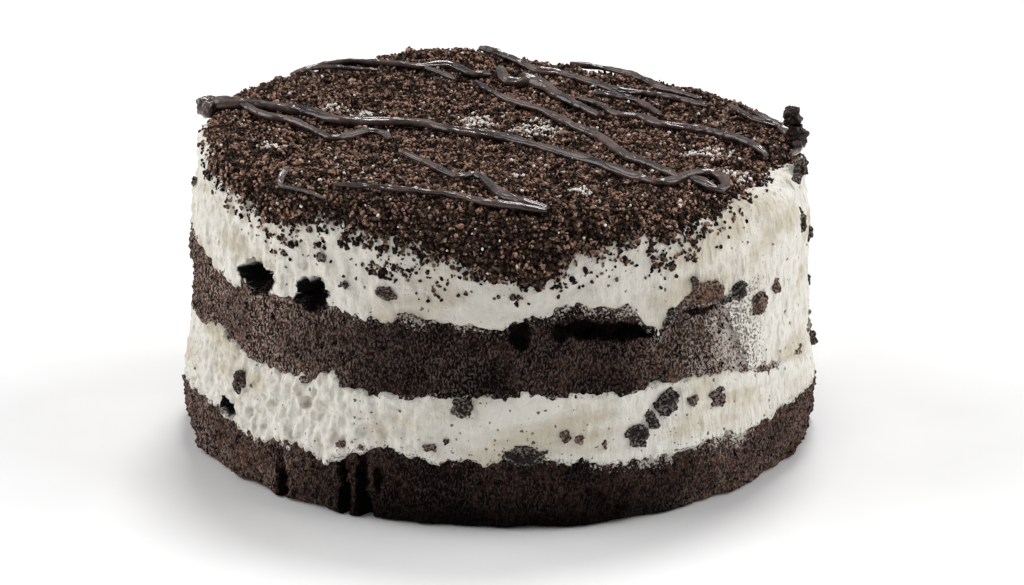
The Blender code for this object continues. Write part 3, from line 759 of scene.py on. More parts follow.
def lump(name, degrees, radius, height, half, turn, brown=0.0, detail=5):
    """A rugged lump, squared as in the solids, hazy where it meets the ice cream round it."""
    mesh = bmesh.new()
    bmesh.ops.create_icosphere(mesh, subdivisions=detail, radius=1)
    seat = Matrix.Rotation(math.radians(degrees), 4, "Z") @ Matrix.Translation((0, -radius, height))
    seat = seat @ Matrix.Rotation(math.radians(turn), 4, "Y")
    points = []
    for vertex in mesh.verts:
        bump = 1 + BUMP_HEIGHT * noise.noise(vertex.co * BUMPS_ACROSS + Vector((degrees, height, 0)))
        shaped = [math.copysign(abs(axis) ** CHUNK_SQUARING, axis) * bump * size
                  for axis, size in zip(vertex.co, half)]
        points.append(seat @ Vector(shaped))
    faces = [[vertex.index for vertex in face.verts] for face in mesh.faces]
    mesh.free()
    outs = [math.hypot(point.x, point.y) - side_radius(point.z) for point in points]
    return mesh_object(name, points, faces, {
        "skin": [1.0] * len(points), "haze": [smooth(0.6, 0.0, out) for out in outs],
        "tone": [brown] * len(points)})


def chunk(name, row, detail=5):
    degrees, height, half_width, half_height, half_depth, out, turn, brown = row
    radius = side_radius(height) + out - half_depth - CHUNK_INSET
    return lump(name, degrees, radius, height, (half_width, half_depth, half_height), turn, brown, detail)


def joined(name, pieces):
    """One object made of several meshes."""
    mesh = bmesh.new()
    for piece in pieces:
        mesh.from_mesh(piece.data)
        bpy.data.objects.remove(piece)
    data = bpy.data.meshes.new(name)
    mesh.to_mesh(data)
    mesh.free()
    return in_scene(name, data)


def add(tree, kind, settings=None, inputs=None):
    """Adds a node; inputs are fed by a node, a socket or a plain value."""
    node = tree.nodes.new(kind)
    for field, value in (settings or {}).items():
        setattr(node, field, value)
    for socket, value in (inputs or {}).items():
        if isinstance(value, bpy.types.Node):
            value = value.outputs[0]
        if isinstance(value, bpy.types.NodeSocket):
            tree.links.new(value, node.inputs[socket])
        else:
            node.inputs[socket].default_value = value
    return node


def sums(tree, operation, first, *others):
    """The result of a sum of numbers, taken in turn, each a socket, a node or a plain value."""
    for other in others:
        first = add(tree, "ShaderNodeMath", {"operation": operation}, {0: first, 1: other}).outputs[0]
    return first


def level(tree, value, low, high, bottom=0.0, top=1.0):
    """A value soft-stepped from one range to another."""
    if high < low:
        low, high, bottom, top = high, low, top, bottom
    return add(tree, "ShaderNodeMapRange", {"interpolation_type": "SMOOTHSTEP"},
               {0: value, 1: low, 2: high, 3: bottom, 4: top}).outputs[0]


def new_tree(name, inputs):
    """A Geometry Nodes tree with named inputs, and its group input node."""
    tree = bpy.data.node_groups.new(name, "GeometryNodeTree")
    tree.interface.new_socket("Geometry", in_out="OUTPUT", socket_type="NodeSocketGeometry")
    tree.interface.new_socket("Geometry", in_out="INPUT", socket_type="NodeSocketGeometry")
    for label in inputs:
        tree.interface.new_socket(label, in_out="INPUT", socket_type="NodeSocketFloat")
    tree.interface.new_socket("Seed", in_out="INPUT", socket_type="NodeSocketInt")
    tree.interface.new_socket("Material", in_out="INPUT", socket_type="NodeSocketMaterial")
    return tree, tree.nodes.new("NodeGroupInput").outputs


def close_tree(tree, geometry, source):
    """Ends a tree in Realize Instances and Set Material."""
    real = add(tree, "GeometryNodeRealizeInstances", None, {"Geometry": geometry})
    painted = add(tree, "GeometryNodeSetMaterial", None, {"Geometry": real, "Material": source["Material"]})
    add(tree, "NodeGroupOutput", None, {0: painted})
    return tree


def run_tree(piece, tree, values):
    """Runs a tree on an object and leaves the result as the object's plain mesh."""
    modifier = piece.modifiers.new(tree.name, "NODES")
    modifier.node_group = tree
    for item in tree.interface.items_tree:
        if item.in_out == "INPUT" and item.name in values:
            modifier[item.identifier] = values[item.name]
    piece.update_tag()
    bpy.context.view_layer.update()
    graph = bpy.context.evaluated_depsgraph_get()
    shaped = bpy.data.meshes.new_from_object(piece.evaluated_get(graph), depsgraph=graph)
    piece.modifiers.clear()
    if piece.type == "MESH":
        piece.data = shaped
        return piece
    name = piece.name
    bpy.data.objects.remove(piece)
    return in_scene(name, shaped)


def shaken(tree, geometry, size, amount):
    """Pushes every point a little in its own direction, by noise of a size."""
    scale = sums(tree, "DIVIDE", 1.0, size)
    found = add(tree, "ShaderNodeTexNoise", None, {"Scale": scale, "Detail": 1.0})
    push = add(tree, "ShaderNodeVectorMath", {"operation": "SUBTRACT"},
               {0: found.outputs["Color"], 1: (0.5, 0.5, 0.5)})
    push = add(tree, "ShaderNodeVectorMath", {"operation": "SCALE"}, {0: push, "Scale": amount})
    return add(tree, "GeometryNodeSetPosition", None, {"Geometry": geometry, "Offset": push})


def relief_tree(name, stretch=1.0):
    """Pushes a skin in and out: wide swells, grains that bulge, and pits. Stretch lengthens them upwards."""
    tree, source = new_tree(name, RELIEF_INPUTS)
    place = add(tree, "GeometryNodeInputPosition")
    place = add(tree, "ShaderNodeVectorMath", {"operation": "MULTIPLY"}, {0: place, 1: (1, 1, 1 / stretch)})
    pushes = []
    for label, kind, more, steps in (("Swell", "Noise", {"Detail": 3.0}, (0.3, 0.7, -1.0, 1.0)),
                                     ("Grain", "Voronoi", {}, (0.0, 0.75, 1.0, -1.0)),
                                     ("Pit", "Voronoi", {}, (0.05, 0.34, -1.0, 0.0))):
        scale = sums(tree, "DIVIDE", 1.0, source[f"{label} Size"])
        found = add(tree, f"ShaderNodeTex{kind}", None, {"Vector": place, "Scale": scale, **more})
        pushes.append(sums(tree, "MULTIPLY", level(tree, found, *steps), source[f"{label} Depth"]))
    depth = sums(tree, "ADD", *pushes)
    skin = add(tree, "GeometryNodeInputNamedAttribute", {"data_type": "FLOAT"}, {"Name": "skin"})
    push = add(tree, "ShaderNodeVectorMath", {"operation": "SCALE"},
               {0: add(tree, "GeometryNodeInputNormal"), "Scale": sums(tree, "MULTIPLY", depth, skin)})
    moved = add(tree, "GeometryNodeSetPosition", None, {"Geometry": source["Geometry"], "Offset": push})
    return close_tree(tree, moved, source)


def relief(finish, *sizes):
    """The relief tree's inputs, from its material and its six sizes."""
    return {**dict(zip(RELIEF_INPUTS, sizes)), "Material": finish}


def crumb_tree(name, detail):
    """Scatters crumbs over a guide, where its sow mark lets them fall, each one crooked in its own way."""
    tree, source = new_tree(name, ("Density", "Size", "Spread", "Rise", "Tone Low", "Tone High"))
    sow = add(tree, "GeometryNodeInputNamedAttribute", {"data_type": "FLOAT"}, {"Name": "sow"})
    spots = add(tree, "GeometryNodeDistributePointsOnFaces", {"distribute_method": "RANDOM"},
                {"Mesh": source["Geometry"], "Density": sums(tree, "MULTIPLY", sow, source["Density"]),
                 "Seed": source["Seed"]})
    least = sums(tree, "SUBTRACT", 1.0, source["Spread"])
    most = sums(tree, "ADD", 1.0, source["Spread"])
    size = add(tree, "FunctionNodeRandomValue", {"data_type": "FLOAT"},
               {2: least, 3: most, "Seed": source["Seed"]}).outputs[1]
    size = sums(tree, "MULTIPLY", source["Size"], 0.5, size)
    shape = add(tree, "FunctionNodeRandomValue", {"data_type": "FLOAT_VECTOR"},
                {0: (0.7, 0.7, 0.6), 1: (1.35, 1.35, 1.0), "Seed": 11})
    shape = add(tree, "ShaderNodeVectorMath", {"operation": "SCALE"}, {0: shape, "Scale": size})
    turn = add(tree, "FunctionNodeRandomValue", {"data_type": "FLOAT_VECTOR"},
               {0: (0, 0, 0), 1: (math.tau, math.tau, math.tau), "Seed": 5})
    lift = add(tree, "ShaderNodeVectorMath", {"operation": "SCALE"},
               {0: spots.outputs["Normal"], "Scale": source["Rise"]})
    spots = add(tree, "GeometryNodeSetPosition", None, {"Geometry": spots, "Offset": lift})
    bit = add(tree, "GeometryNodeMeshIcoSphere", None, {"Radius": 1.0, "Subdivisions": detail})
    bits = add(tree, "GeometryNodeInstanceOnPoints", None,
               {"Points": spots, "Instance": bit, "Rotation": turn, "Scale": shape})
    tone = add(tree, "FunctionNodeRandomValue", {"data_type": "FLOAT"},
               {2: source["Tone Low"], 3: source["Tone High"], "Seed": 23}).outputs[1]
    bits = add(tree, "GeometryNodeStoreNamedAttribute", {"data_type": "FLOAT", "domain": "INSTANCE"},
               {"Geometry": bits, "Name": "tone", "Value": tone})
    real = add(tree, "GeometryNodeRealizeInstances", None, {"Geometry": bits})
    moved = shaken(tree, real, sums(tree, "MULTIPLY", source["Size"], 0.9),
                   sums(tree, "MULTIPLY", source["Size"], 1.2))
    flat = add(tree, "GeometryNodeSetShadeSmooth", None, {"Geometry": moved, "Shade Smooth": False})
    return close_tree(tree, flat, source)


def strand_tree():
    """Lays a ridged chocolate strand of uneven width along every curve."""
    tree, source = new_tree("drizzle_strands", ("Width Share", "Wobble", "Step"))
    way = add(tree, "GeometryNodeResampleCurve", {"mode": "LENGTH"},
              {"Curve": source["Geometry"], "Length": source["Step"]})
    way = add(tree, "GeometryNodeSetCurveNormal", {"mode": "Z_UP"}, {"Curve": way})
    blotch = add(tree, "ShaderNodeTexNoise", None, {"Scale": 160.0, "Detail": 2.0})
    roll = add(tree, "ShaderNodeTexNoise", None, {"Scale": 60.0, "Detail": 1.0})
    roll = level(tree, roll, 0.3, 0.7, -0.5, 0.5)
    way = add(tree, "GeometryNodeSetCurveTilt", None, {"Curve": way, "Tilt": roll})
    radius = sums(tree, "MULTIPLY", add(tree, "GeometryNodeInputRadius"),
                  level(tree, blotch, 0.3, 0.7, 0.86, 1.14), source["Width Share"])
    profile = add(tree, "GeometryNodeCurvePrimitiveCircle", None,
                  {"Resolution": STRAND_CORNERS, "Radius": 1.0})
    spot = add(tree, "ShaderNodeSeparateXYZ", None, {0: add(tree, "GeometryNodeInputPosition")}).outputs
    ridge = sums(tree, "COSINE", sums(tree, "MULTIPLY", spot[0], STRAND_RIDGES), 0.0)
    ridge = sums(tree, "MULTIPLY", ridge, RIDGE_HEIGHT)
    height = sums(tree, "MULTIPLY", spot[1], sums(tree, "ADD", ridge, STRAND_HEIGHT))
    shape = add(tree, "ShaderNodeCombineXYZ", None, {0: spot[0], 1: height, 2: 0.0})
    profile = add(tree, "GeometryNodeSetPosition", None, {"Geometry": profile, "Position": shape})
    tube = add(tree, "GeometryNodeCurveToMesh", None,
               {"Curve": way, "Profile Curve": profile, "Scale": radius, "Fill Caps": True})
    moved = shaken(tree, tube, 2.4 * MM, source["Wobble"])
    return close_tree(tree, moved, source)


def material(name, settings):
    """A new material with its Principled shader's plain settings, and its tree, shader and place."""
    made = bpy.data.materials.new(name)
    made.use_nodes = True
    tree = made.node_tree
    shader = tree.nodes["Principled BSDF"]
    for socket, value in settings.items():
        shader.inputs[socket].default_value = value
    return made, tree, shader, add(tree, "ShaderNodeTexCoord").outputs["Object"]


def blend(tree, share, first, second):
    """Mixes two colours, each a plain colour or a socket, and gives the result's socket."""
    plain = {key: value if isinstance(value, bpy.types.NodeSocket) else (*value, 1.0)
             for key, value in ((6, first), (7, second))}
    return add(tree, "ShaderNodeMix", {"data_type": "RGBA"}, {0: share, **plain}).outputs[2]


def coats(tree, shader, body, *layers):
    """Lays colours over a first one, each as (share, colour), and feeds the result to the shader."""
    for share, over in layers:
        body = blend(tree, share, body, linear(over) if isinstance(over, str) else over[:])
    tree.links.new(body, shader.inputs["Base Color"])


def pattern(tree, place, size, detail=3.0, squeeze=None):
    """Noise whose blotches are of a size in millimetres, stretched by a squeeze of the place."""
    if squeeze:
        place = add(tree, "ShaderNodeMapping", None, {"Vector": place, "Scale": squeeze}).outputs[0]
    return add(tree, "ShaderNodeTexNoise", None,
               {"Vector": place, "Scale": 1 / (size * MM), "Detail": detail}).outputs[0]


def mark_of(tree, name):
    """The number stored at each point under a name."""
    return add(tree, "ShaderNodeAttribute", {"attribute_name": name}).outputs["Fac"]


def speckle(tree, place, amount, size, strength):
    """Speckles whose share of the surface grows with an amount from 0 to 1."""
    grit = sums(tree, "ADD", pattern(tree, place, size, 4.0), sums(tree, "MULTIPLY", amount, 0.42))
    mask = level(tree, grit, 0.7, 0.84, 0.0, strength)
    return sums(tree, "MULTIPLY", mask, level(tree, amount, 0.0, 0.15))


def specks(tree, place, size, share):
    """Uneven round specks, one in each of a share of the cells of a size in millimetres."""
    width = size * MM
    warp = add(tree, "ShaderNodeTexNoise", None, {"Vector": place, "Scale": 1.6 / width, "Detail": 2.0})
    warp = add(tree, "ShaderNodeVectorMath", {"operation": "SCALE"},
               {0: warp.outputs["Color"], "Scale": 0.8 * width})
    moved = add(tree, "ShaderNodeVectorMath", {"operation": "ADD"}, {0: place, 1: warp})
    cells = add(tree, "ShaderNodeTexVoronoi", None, {"Vector": moved, "Scale": 1 / width})
    own = add(tree, "ShaderNodeSeparateColor", None, {0: cells.outputs["Color"]}).outputs
    chosen = sums(tree, "LESS_THAN", own[0], share)
    reach = level(tree, own[1], 0.0, 1.0, 0.1, 0.34)
    inside = level(tree, sums(tree, "SUBTRACT", cells.outputs["Distance"], reach), 0.04, -0.04, 0.0, 0.85)
    return sums(tree, "MULTIPLY", chosen, inside)


def add_bump(tree, shader, height, depth, strength=0.8):
    """Feeds a height of a depth in millimetres to the shader's normal."""
    bump = add(tree, "ShaderNodeBump", None,
               {"Strength": strength, "Distance": depth * MM, "Height": height})
    tree.links.new(bump.outputs[0], shader.inputs["Normal"])


def frontness(tree, place):
    """How far a place is turned to the front, from 0 at the sides to 1."""
    spot = add(tree, "ShaderNodeSeparateXYZ", None, {0: place}).outputs
    return level(tree, spot[1], FRONT_BEGINS * MM, FRONT_FULL * MM), spot


def sponge_finish(name, colours):
    """Baked chocolate sponge, torn and frosted: a matte open crumb, dry at the sides, with shade painted in
    patches over the front.
    """
    made, tree, shader, place = material(name, {"Roughness": 0.95, "Specular IOR Level": 0.06, "IOR": 1.45})
    front, spot = frontness(tree, place)
    crumb = sums(tree, "MULTIPLY", pattern(tree, place, 1.8, 5.0, (1, 1, 0.6)), 0.6)
    fine = sums(tree, "MULTIPLY", pattern(tree, place, 0.55, 3.0, (1, 1, 0.6)), 0.4)
    # Painted shade: the sponge's tone darkens in patches towards the front, turned away from the lamps at
    # the sides.
    patchy_front_shade = level(tree, pattern(tree, place, 10.0), 0.38, 0.6, 0.58, 0.97)
    tone = sums(tree, "MULTIPLY", level(tree, sums(tree, "ADD", crumb, fine), 0.4, 0.6),
                sums(tree, "SUBTRACT", 1.0, sums(tree, "MULTIPLY", front, patchy_front_shade)))
    warm = level(tree, pattern(tree, place, 8.0, 2.0), 0.5, 0.7, 0.0, 0.4)
    grit = pattern(tree, place, 0.5, 3.0, (1, 1, 0.5))
    lowest = level(tree, spot[0], 30 * MM, 80 * MM, 0.62, 0.36)
    dry = sums(tree, "MULTIPLY", level(tree, grit, 0.48, 0.62), level(tree, front, 0, 1, 0.95, 0.2),
               level(tree, pattern(tree, place, 13.0, 2.0), 0.35, 0.65, 0.5, 1.0),
               level(tree, spot[2], 14 * MM, 26 * MM, lowest, 1.0))
    haze = sums(tree, "MULTIPLY", mark_of(tree, "haze"),
                level(tree, pattern(tree, place, 6.0), 0.36, 0.62, 0.55, 1.2))
    coats(tree, shader, colours.sponge_deep[:],
          (tone, colours.sponge_main),
          (sums(tree, "MULTIPLY", warm, tone), SPONGE_WARM),
          (dry, colours.sponge_dust),
          # Painted shade along the front of the sponge's foot, darkest at the floor.
          (sums(tree, "MULTIPLY", front, level(tree, spot[2], 15 * MM, 1 * MM, 0.0, 0.85)), SPONGE_FOOT_SHADE),
          (speckle(tree, place, haze, 0.7, 0.78), CREAM_ON_SPONGE),
          # Painted shade in the side's hollows.
          (sums(tree, "MULTIPLY", mark_of(tree, "dark"), 0.92), HOLLOW_PAINTED_SHADE))
    add_bump(tree, shader, sums(tree, "ADD", grit, crumb), 0.6, 1.0)
    return made


def cream_finish(name, colours):
    """Frozen dairy cream, scraped with a knife: satin, off-white, with cookie specks and fine drag marks."""
    made, tree, shader, place = material(name, {
        "Specular IOR Level": 0.3, "IOR": 1.4, "Subsurface Weight": 0.1, "Subsurface Scale": 1.2 * MM,
        "Subsurface Radius": (1.0, 0.8, 0.6)})
    front, spot = frontness(tree, place)
    melted = level(tree, pattern(tree, place, 16.0, 4.0, (0.6, 0.6, 1.8)), 0.46, 0.68)
    shaded = sums(tree, "MULTIPLY", level(tree, spot[2], 50 * MM, 58 * MM, 0.0, 0.24), front)
    # Darker olive-beige blotches where the side is torn.
    torn_blotches = level(tree, pattern(tree, place, 2.6, 4.0), 0.5, 0.72, 0.0, 0.65)
    drag = pattern(tree, place, 1.0, 4.0, (1, 1, 0.12))
    rubbed = sums(tree, "MULTIPLY", level(tree, drag, 0.52, 0.7, 0.0, 0.5),
                  level(tree, front, 0, 1, 1.0, 0.1))
    crowd = level(tree, pattern(tree, place, 9.0), 0.38, 0.68, 0.02, 0.2)
    low = sums(tree, "MULTIPLY", level(tree, spot[2], 32 * MM, 22 * MM), front, 0.3)
    # The dark mark paints shade into the side's hollows.
    dark = mark_of(tree, "dark")
    coats(tree, shader, colours.cream_main[:],
          (melted, colours.cream_warm),
          (shaded, CREAM_SHADE),
          (sums(tree, "MULTIPLY", torn_blotches, mark_of(tree, "skin")), CREAM_TORN_BLOTCH),
          (rubbed, CREAM_RUBBED),
          (specks(tree, place, 1.5, crowd), SPECK_DARK),
          (specks(tree, place, 1.1, sums(tree, "ADD", low, 0.01)), SPECK_BROWN),
          (speckle(tree, place, mark_of(tree, "haze"), 0.7, 0.85), SPONGE_ON_CREAM),
          (dark, CREAM_HOLLOW_PAINTED_SHADE))
    tree.links.new(level(tree, dark, 0.0, 1.0, 0.55, 1.0), shader.inputs["Roughness"])
    add_bump(tree, shader, sums(tree, "ADD", pattern(tree, place, 0.8, 4.0), drag), 0.5)
    return made


def crumb_finish(name, colours, pale=False):
    """Crushed cookie: dry, matte broken faces, every crumb with its own tone of brown, darkened by painted
    shade in patches and over the front; the pale filling has neither.
    """
    made, tree, shader, place = material(name, {"Roughness": 0.85, "Specular IOR Level": 0.12, "IOR": 1.5})
    blotch = level(tree, pattern(tree, place, 0.9, 2.0), 0.35, 0.65, -0.25, 0.25)
    tone = add(tree, "ShaderNodeMath", {"operation": "ADD", "use_clamp": True},
               {0: mark_of(tree, "tone"), 1: blotch}).outputs[0]
    if pale:
        coats(tree, shader, linear(FILLING_SHADE), (tone, FILLING))
    else:
        # Painted shade: darker patches stand for the shadows among the crumbs, and the front, turned from
        # the lamps, is darker.
        patchiness = level(tree, pattern(tree, place, 2.6), 0.4, 0.56, 0.27, 1.0)
        turned = level(tree, frontness(tree, place)[0], 0, 1, 1.0, 0.75)
        tone = level(tree, sums(tree, "MULTIPLY", patchiness, turned, tone), 0.0, 1.0)
        coats(tree, shader, colours.crumb_dark[:], (tone, colours.crumb_light))
    add_bump(tree, shader, pattern(tree, place, 0.3, 2.0), 0.15, 0.6)
    return made


def bed_finish(name, colours):
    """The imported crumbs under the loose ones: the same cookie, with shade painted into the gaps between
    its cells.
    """
    made, tree, shader, place = material(name, {"Roughness": 0.9, "Specular IOR Level": 0.08, "IOR": 1.5})
    cells = add(tree, "ShaderNodeTexVoronoi", None, {"Vector": place, "Scale": 1 / (1.1 * MM)})
    own = add(tree, "ShaderNodeSeparateColor", None, {0: cells.outputs["Color"]}).outputs[0]
    away = cells.outputs["Distance"]
    # Painted shade darkens the gaps between the cells.
    coats(tree, shader, colours.crumb_dark[:], (sums(tree, "MULTIPLY", own, 0.3), colours.crumb_light),
          (level(tree, away, 0.2, 0.7, 0.0, 0.95), BED_GAP_SHADE))
    add_bump(tree, shader, sums(tree, "SUBTRACT", 1.0, away), 0.5)
    return made


def chocolate_finish(name, colours, most_bloom=0.8, coat=0.85, gloss=0.2):
    """Poured dark chocolate, set in the cold: satin with a grey bloom and a glossy skin in places."""
    made, tree, shader, place = material(name, {"Specular IOR Level": gloss, "IOR": 1.5, "Coat Weight": coat,
                                                "Coat Roughness": 0.04})
    bloom = level(tree, pattern(tree, place, 8.0, 4.0), 0.35, 0.65, 0.05, most_bloom)
    coats(tree, shader, colours.chocolate[:], (bloom, colours.chocolate_bloom))
    dull = level(tree, pattern(tree, place, 6.0, 2.0), 0.35, 0.65, 0.2, 0.42)
    tree.links.new(dull, shader.inputs["Roughness"])
    add_bump(tree, shader, pattern(tree, place, 1.1), 0.3, 0.6)
    return made


def cookie_finish(name, colours):
    """Broken chocolate cookie in the ice cream: matte, gritty, smeared grey round its edges."""
    made, tree, shader, place = material(name, {"Roughness": 0.8, "Specular IOR Level": 0.3, "IOR": 1.5})
    grit = pattern(tree, place, 0.7, 4.0)
    own = blend(tree, mark_of(tree, "tone"), colours.cookie[:], colours.cookie_brown[:])
    cover = sums(tree, "ADD", sums(tree, "MULTIPLY", mark_of(tree, "haze"), 0.35), 0.2)
    body = blend(tree, level(tree, grit, 0.36, 0.58), linear(COOKIE_PIT), own)
    coats(tree, shader, body, (speckle(tree, place, cover, 0.7, 0.6), CREAM_ON_COOKIE))
    add_bump(tree, shader, grit, 0.3)
    return made


def place_piece(piece, slot, *nodes, smooth=True):
    """Puts a finished piece on the cake's body and hides the solids that it stands for; its slot is not
    used.
    """
    if smooth:
        piece.data.polygons.foreach_set("use_smooth", [True] * len(piece.data.polygons))
    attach(piece, "root")
    if nodes:
        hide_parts(*nodes)


def guide_copy(name, source, mark):
    """A copy of a piece's mesh to scatter on, sown by one of its marks."""
    data = source.data.copy()
    values = [0.0] * len(data.vertices)
    data.attributes[mark].data.foreach_get("value", values)
    data.attributes["sow"].data.foreach_set("value", values)
    return in_scene(name, data)


class CAKE_OT_sponges(bpy.types.Operator):
    """Make the two chocolate sponge layers"""
    bl_idname = "cake.sponges"
    bl_label = "Sponge Layers"

    def execute(self, context):
        sizes = context.scene.cake_sizes
        values = relief(sponge_finish("baked_chocolate_sponge", context.scene.cake_colours),
                        3.4 * MM, 0.5 * MM, sizes.sponge_grain, sizes.sponge_depth, 4.5 * MM, 0.8 * MM)
        tree = relief_tree("sponge_crumb")
        base = layer("sponge_bottom", "base", None, base_rim, SPONGE_RELIEF, base_paint)
        middle = layer("sponge_middle", "middle", lower_rim, smear_foot, SPONGE_RELIEF, middle_paint)
        for piece, node in ((base, "base_sponge"), (middle, "middle_sponge")):
            place_piece(run_tree(piece, tree, values), "chocolate_sponge", node)
        return {"FINISHED"}


class CAKE_OT_ice_creams(bpy.types.Operator):
    """Make the two ice cream layers"""
    bl_idname = "cake.ice_creams"
    bl_label = "Ice Cream Layers"

    def execute(self, context):
        sizes = context.scene.cake_sizes
        values = relief(cream_finish("scraped_ice_cream", context.scene.cake_colours),
                        sizes.tear_width, sizes.tear_depth, 2.3 * MM, 0.4 * MM, 4.6 * MM, 1.2 * MM)
        tree = relief_tree("scrape_marks", stretch=1.5)
        lower = layer("ice_cream_lower", "lower", base_rim, lower_rim, CREAM_RELIEF, lower_paint)
        upper = upper_layer("ice_cream_upper")
        for piece, node in ((lower, "lower_ice_cream"), (upper, "upper_ice_cream")):
            place_piece(run_tree(piece, tree, values), "ice_cream", node)
        return {"FINISHED"}


class CAKE_OT_crumb_blanket(bpy.types.Operator):
    """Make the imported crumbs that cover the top"""
    bl_idname = "cake.crumb_blanket"
    bl_label = "Crumb Blanket"

    def execute(self, context):
        sizes = context.scene.cake_sizes
        bed = run_tree(crumb_bed("crumb_bed"), relief_tree("packed_crumbs"), relief(
            bed_finish("packed_cookie_crumbs", context.scene.cake_colours),
            6.0 * MM, 0.8 * MM, sizes.bed_grain, sizes.bed_depth, 4.5 * MM, 0.7 * MM))
        place_piece(bed, "cookie_crumb", "crumb_topping")
        return {"FINISHED"}


class CAKE_OT_loose_crumbs(bpy.types.Operator):
    """Scatter loose crumbs of each size over the top and down the side"""
    bl_idname = "cake.loose_crumbs"
    bl_label = "Loose Crumbs"

    def execute(self, context):
        sizes = context.scene.cake_sizes
        colours = context.scene.cake_colours
        dark = crumb_finish("crushed_cookie", colours)
        pale = crumb_finish("broken_cream_filling", colours, pale=True)
        small = crumb_tree("loose_crumbs", 1)
        large = crumb_tree("loose_lumps", 2)
        bed = bpy.data.objects["crumb_bed"]
        upper = bpy.data.objects["ice_cream_upper"]
        kinds = (
            ("crumbs_fine", bed, "sow", small, 0.38, sizes.fine_crumb, 0.3, 0.45, (0.0, 1.0), dark),
            ("crumbs_small", bed, "sow", small, 0.38, sizes.small_crumb, 0.3, 0.35, (0.0, 1.0), dark),
            ("crumbs_medium", bed, "sow", small, 0.38, sizes.medium_crumb, 0.3, 0.2, (0.0, 1.0), dark),
            ("crumbs_coarse", bed, "sow", large, 0.035, sizes.coarse_crumb, 0.35, 0.2, (0.1, 0.8), dark),
            ("cream_flecks", bed, "flecks", small, 1.3, 0.7 * MM, 0.5, 0.75, (0.2, 1.0), pale),
            ("crumbs_on_side", upper, "sow", small, 3.0, 0.9 * MM, 0.5, 0.1, (0.0, 0.6), dark),
            ("lumps_on_side", upper, "sow", large, 0.35, 1.4 * MM, 0.4, 0.0, (0.0, 0.3), dark),
        )
        for seed, (name, guide, mark, tree, each_mm, size, spread, rise, tones, finish) in enumerate(kinds):
            piece = run_tree(guide_copy(name, guide, mark), tree, {
                "Density": each_mm / MM ** 2, "Size": size, "Spread": spread, "Rise": rise * MM,
                "Tone Low": tones[0], "Tone High": tones[1], "Seed": seed, "Material": finish})
            place_piece(piece, "ice_cream" if finish is pale else "cookie_crumb", smooth=False)
        return {"FINISHED"}


class CAKE_OT_drizzle(bpy.types.Operator):
    """Lay the chocolate drizzle over the crumbs"""
    bl_idname = "cake.drizzle"
    bl_label = "Chocolate Drizzle"

    def execute(self, context):
        data = bpy.data.curves.new("chocolate_drizzle", "CURVE")
        data.dimensions = "3D"
        for start, end, corners in STRANDS:
            way = strand_way(corners)
            spline = data.splines.new("POLY")
            spline.points.add(len(way) - 1)
            for i, (point, spot) in enumerate(zip(spline.points, way)):
                point.co = (*(on_blanket(*spot, STRAND_RISE) * MM), 1)
                left = len(way) - 1 - i
                near_end = left if start > WIDE_START else min(i, left)
                taper = STRAND_END + (1 - STRAND_END) * smooth(-1, 3, near_end)
                share = (left / len(way)) ** NARROWING[len(corners) <= LONG_STRAND]
                point.radius = (end + (start - end) * share) * taper * MM
        finish = chocolate_finish("set_dark_chocolate", context.scene.cake_colours)
        pieces = [run_tree(in_scene("chocolate_drizzle", data), strand_tree(), {
            "Width Share": context.scene.cake_sizes.strand_share, "Wobble": STRAND_WOBBLE * MM,
            "Step": STRAND_STEP * MM,
            "Material": finish})]
        rugged = chocolate_finish("pooled_dark_chocolate", context.scene.cake_colours, 0.06, 0.3, 0.1)
        folds = relief_tree("chocolate_folds")
        for name, rows, share, look in (("chocolate_end", LUMPS[:1], 0.4, finish),
                                        ("chocolate_clump", LUMPS[1:], 1.0, rugged)):
            lumps = [lump(f"{name}_{i}", degrees, radius, height, half, 0)
                     for i, (degrees, radius, height, *half) in enumerate(rows)]
            pieces.append(run_tree(joined(name, lumps), folds, relief(
                look, 2.6 * MM, 0.7 * share * MM, 1.9 * MM, 0.3 * share * MM, 2.8 * MM, 0.5 * share * MM)))
        for piece in pieces:
            place_piece(piece, "chocolate_drizzle", "crumb_topping")
        return {"FINISHED"}


class CAKE_OT_chunks(bpy.types.Operator):
    """Set the cookie chunks in the side"""
    bl_idname = "cake.chunks"
    bl_label = "Cookie Chunks"

    def execute(self, context):
        values = relief(cookie_finish("broken_cookie", context.scene.cake_colours),
                        1.8 * MM, 0.4 * MM, 0.9 * MM, 0.2 * MM, 1.7 * MM, 0.4 * MM)
        tree = relief_tree("cookie_break")
        for i, row in enumerate(CHUNKS):
            piece = run_tree(chunk(f"cookie_{i + 1}", row), tree, values)
            place_piece(piece, "cookie_chunk", f"cookie_chunk_{i + 1}")
        bits = run_tree(joined("cookie_bits", [chunk(f"bit_{i}", row, 4) for i, row in enumerate(BITS)]),
                        tree, values)
        place_piece(bits, "cookie_chunk")
        return {"FINISHED"}


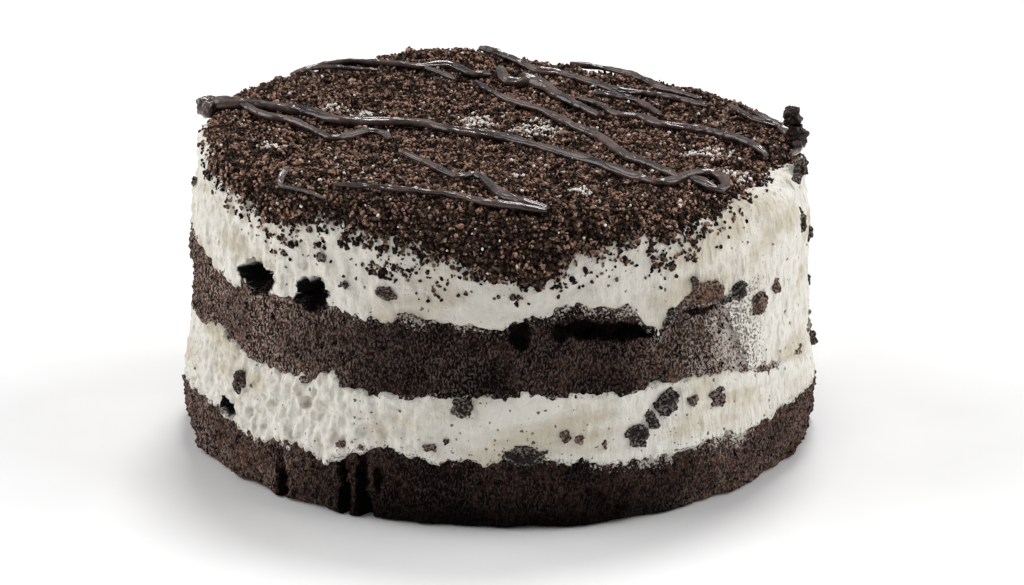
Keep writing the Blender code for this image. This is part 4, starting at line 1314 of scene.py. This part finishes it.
class CAKE_OT_stage(bpy.types.Operator):
    """Set up the floor, the light and the camera"""
    bl_idname = "cake.stage"
    bl_label = "Stage"

    def execute(self, context):
        stage = context.scene.cake_stage
        context.scene.view_settings.view_transform = "Standard"
        self.floor()
        self.world(stage.room)
        for name, setting, spot, width in LAMPS:
            self.lamp(name, spot, getattr(stage, setting), width)
        self.camera(context, stage)
        return {"FINISHED"}

    @staticmethod
    def floor():
        """Matte white card, wide enough to fill the view."""
        data = bpy.data.meshes.new("floor")
        corners = [(x * FLOOR_HALF, y * FLOOR_HALF, 0) for x, y in ((-1, -1), (1, -1), (1, 1), (-1, 1))]
        data.from_pydata(corners, [], [(0, 1, 2, 3)])
        made, tree, shader, place = material("white_card", {"Roughness": 0.7, "Specular IOR Level": 0.2})
        grain = level(tree, pattern(tree, place, 40.0, 2.0), 0.3, 0.7)
        tree.links.new(blend(tree, grain, linear("#F4F4F4"), linear("#F7F7F7")), shader.inputs["Base Color"])
        data.materials.append(made)
        floor = in_scene("floor", data)

    @staticmethod
    def world(brightness):
        world = bpy.data.worlds.new("room")
        world.use_nodes = True
        back = world.node_tree.nodes["Background"]
        back.inputs["Color"].default_value = (1, 1, 1, 1)
        back.inputs["Strength"].default_value = brightness
        bpy.context.scene.world = world

    @staticmethod
    def lamp(name, spot, strength, width):
        """A far soft box, as wide as an angle in degrees."""
        data = bpy.data.lights.new(name, "SUN")
        data.angle = math.radians(width)
        data.energy = strength
        lamp = in_scene(name, data)
        lamp.location = spot
        lamp.rotation_euler = (-Vector(spot)).to_track_quat("-Z", "Y").to_euler()

    @staticmethod
    def camera(context, stage):
        data = bpy.data.cameras.new("camera")
        data.lens = stage.lens
        data.sensor_width = SENSOR_WIDTH
        data.shift_x, data.shift_y = LENS_SHIFT
        data.clip_start, data.clip_end = 0.01, 50
        camera = in_scene("camera", data)
        back = Vector((0, -math.cos(stage.tilt), math.sin(stage.tilt))) * stage.distance
        camera.location = Vector((0, 0, stage.target)) + back
        camera.rotation_euler = (math.pi / 2 - stage.tilt, 0, 0)
        context.scene.camera = camera


OPERATORS = (CAKE_OT_sponges, CAKE_OT_ice_creams, CAKE_OT_crumb_blanket, CAKE_OT_loose_crumbs,
             CAKE_OT_drizzle, CAKE_OT_chunks, CAKE_OT_stage)


class CAKE_PT_panel(bpy.types.Panel):
    """The cake's settings and steps"""
    bl_idname = "CAKE_PT_panel"
    bl_label = "Ice Cream Cake"
    bl_space_type = "VIEW_3D"
    bl_region_type = "UI"
    bl_category = "Cake"

    def draw(self, context):
        for group in (context.scene.cake_sizes, context.scene.cake_colours, context.scene.cake_stage):
            box = self.layout.box()
            for field in group.__annotations__:
                box.prop(group, field)
        for operator in OPERATORS:
            self.layout.operator(operator.bl_idname)


GROUPS = {"cake_sizes": CakeSizes, "cake_colours": CakeColours, "cake_stage": CakeStage}
CLASSES = (*GROUPS.values(), *OPERATORS, CAKE_PT_panel)


def register():
    for item in CLASSES:
        bpy.utils.register_class(item)
    for name, group in GROUPS.items():
        setattr(bpy.types.Scene, name, bpy.props.PointerProperty(type=group))


def unregister():
    for name in GROUPS:
        delattr(bpy.types.Scene, name)
    for item in reversed(CLASSES):
        bpy.utils.unregister_class(item)


def main():
    """Registers the add-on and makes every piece."""
    register()
    bpy.ops.cake.sponges()
    bpy.ops.cake.ice_creams()
    bpy.ops.cake.crumb_blanket()
    bpy.ops.cake.loose_crumbs()
    bpy.ops.cake.drizzle()
    bpy.ops.cake.chunks()
    bpy.ops.cake.stage()


if __name__ == "__main__":
    main()
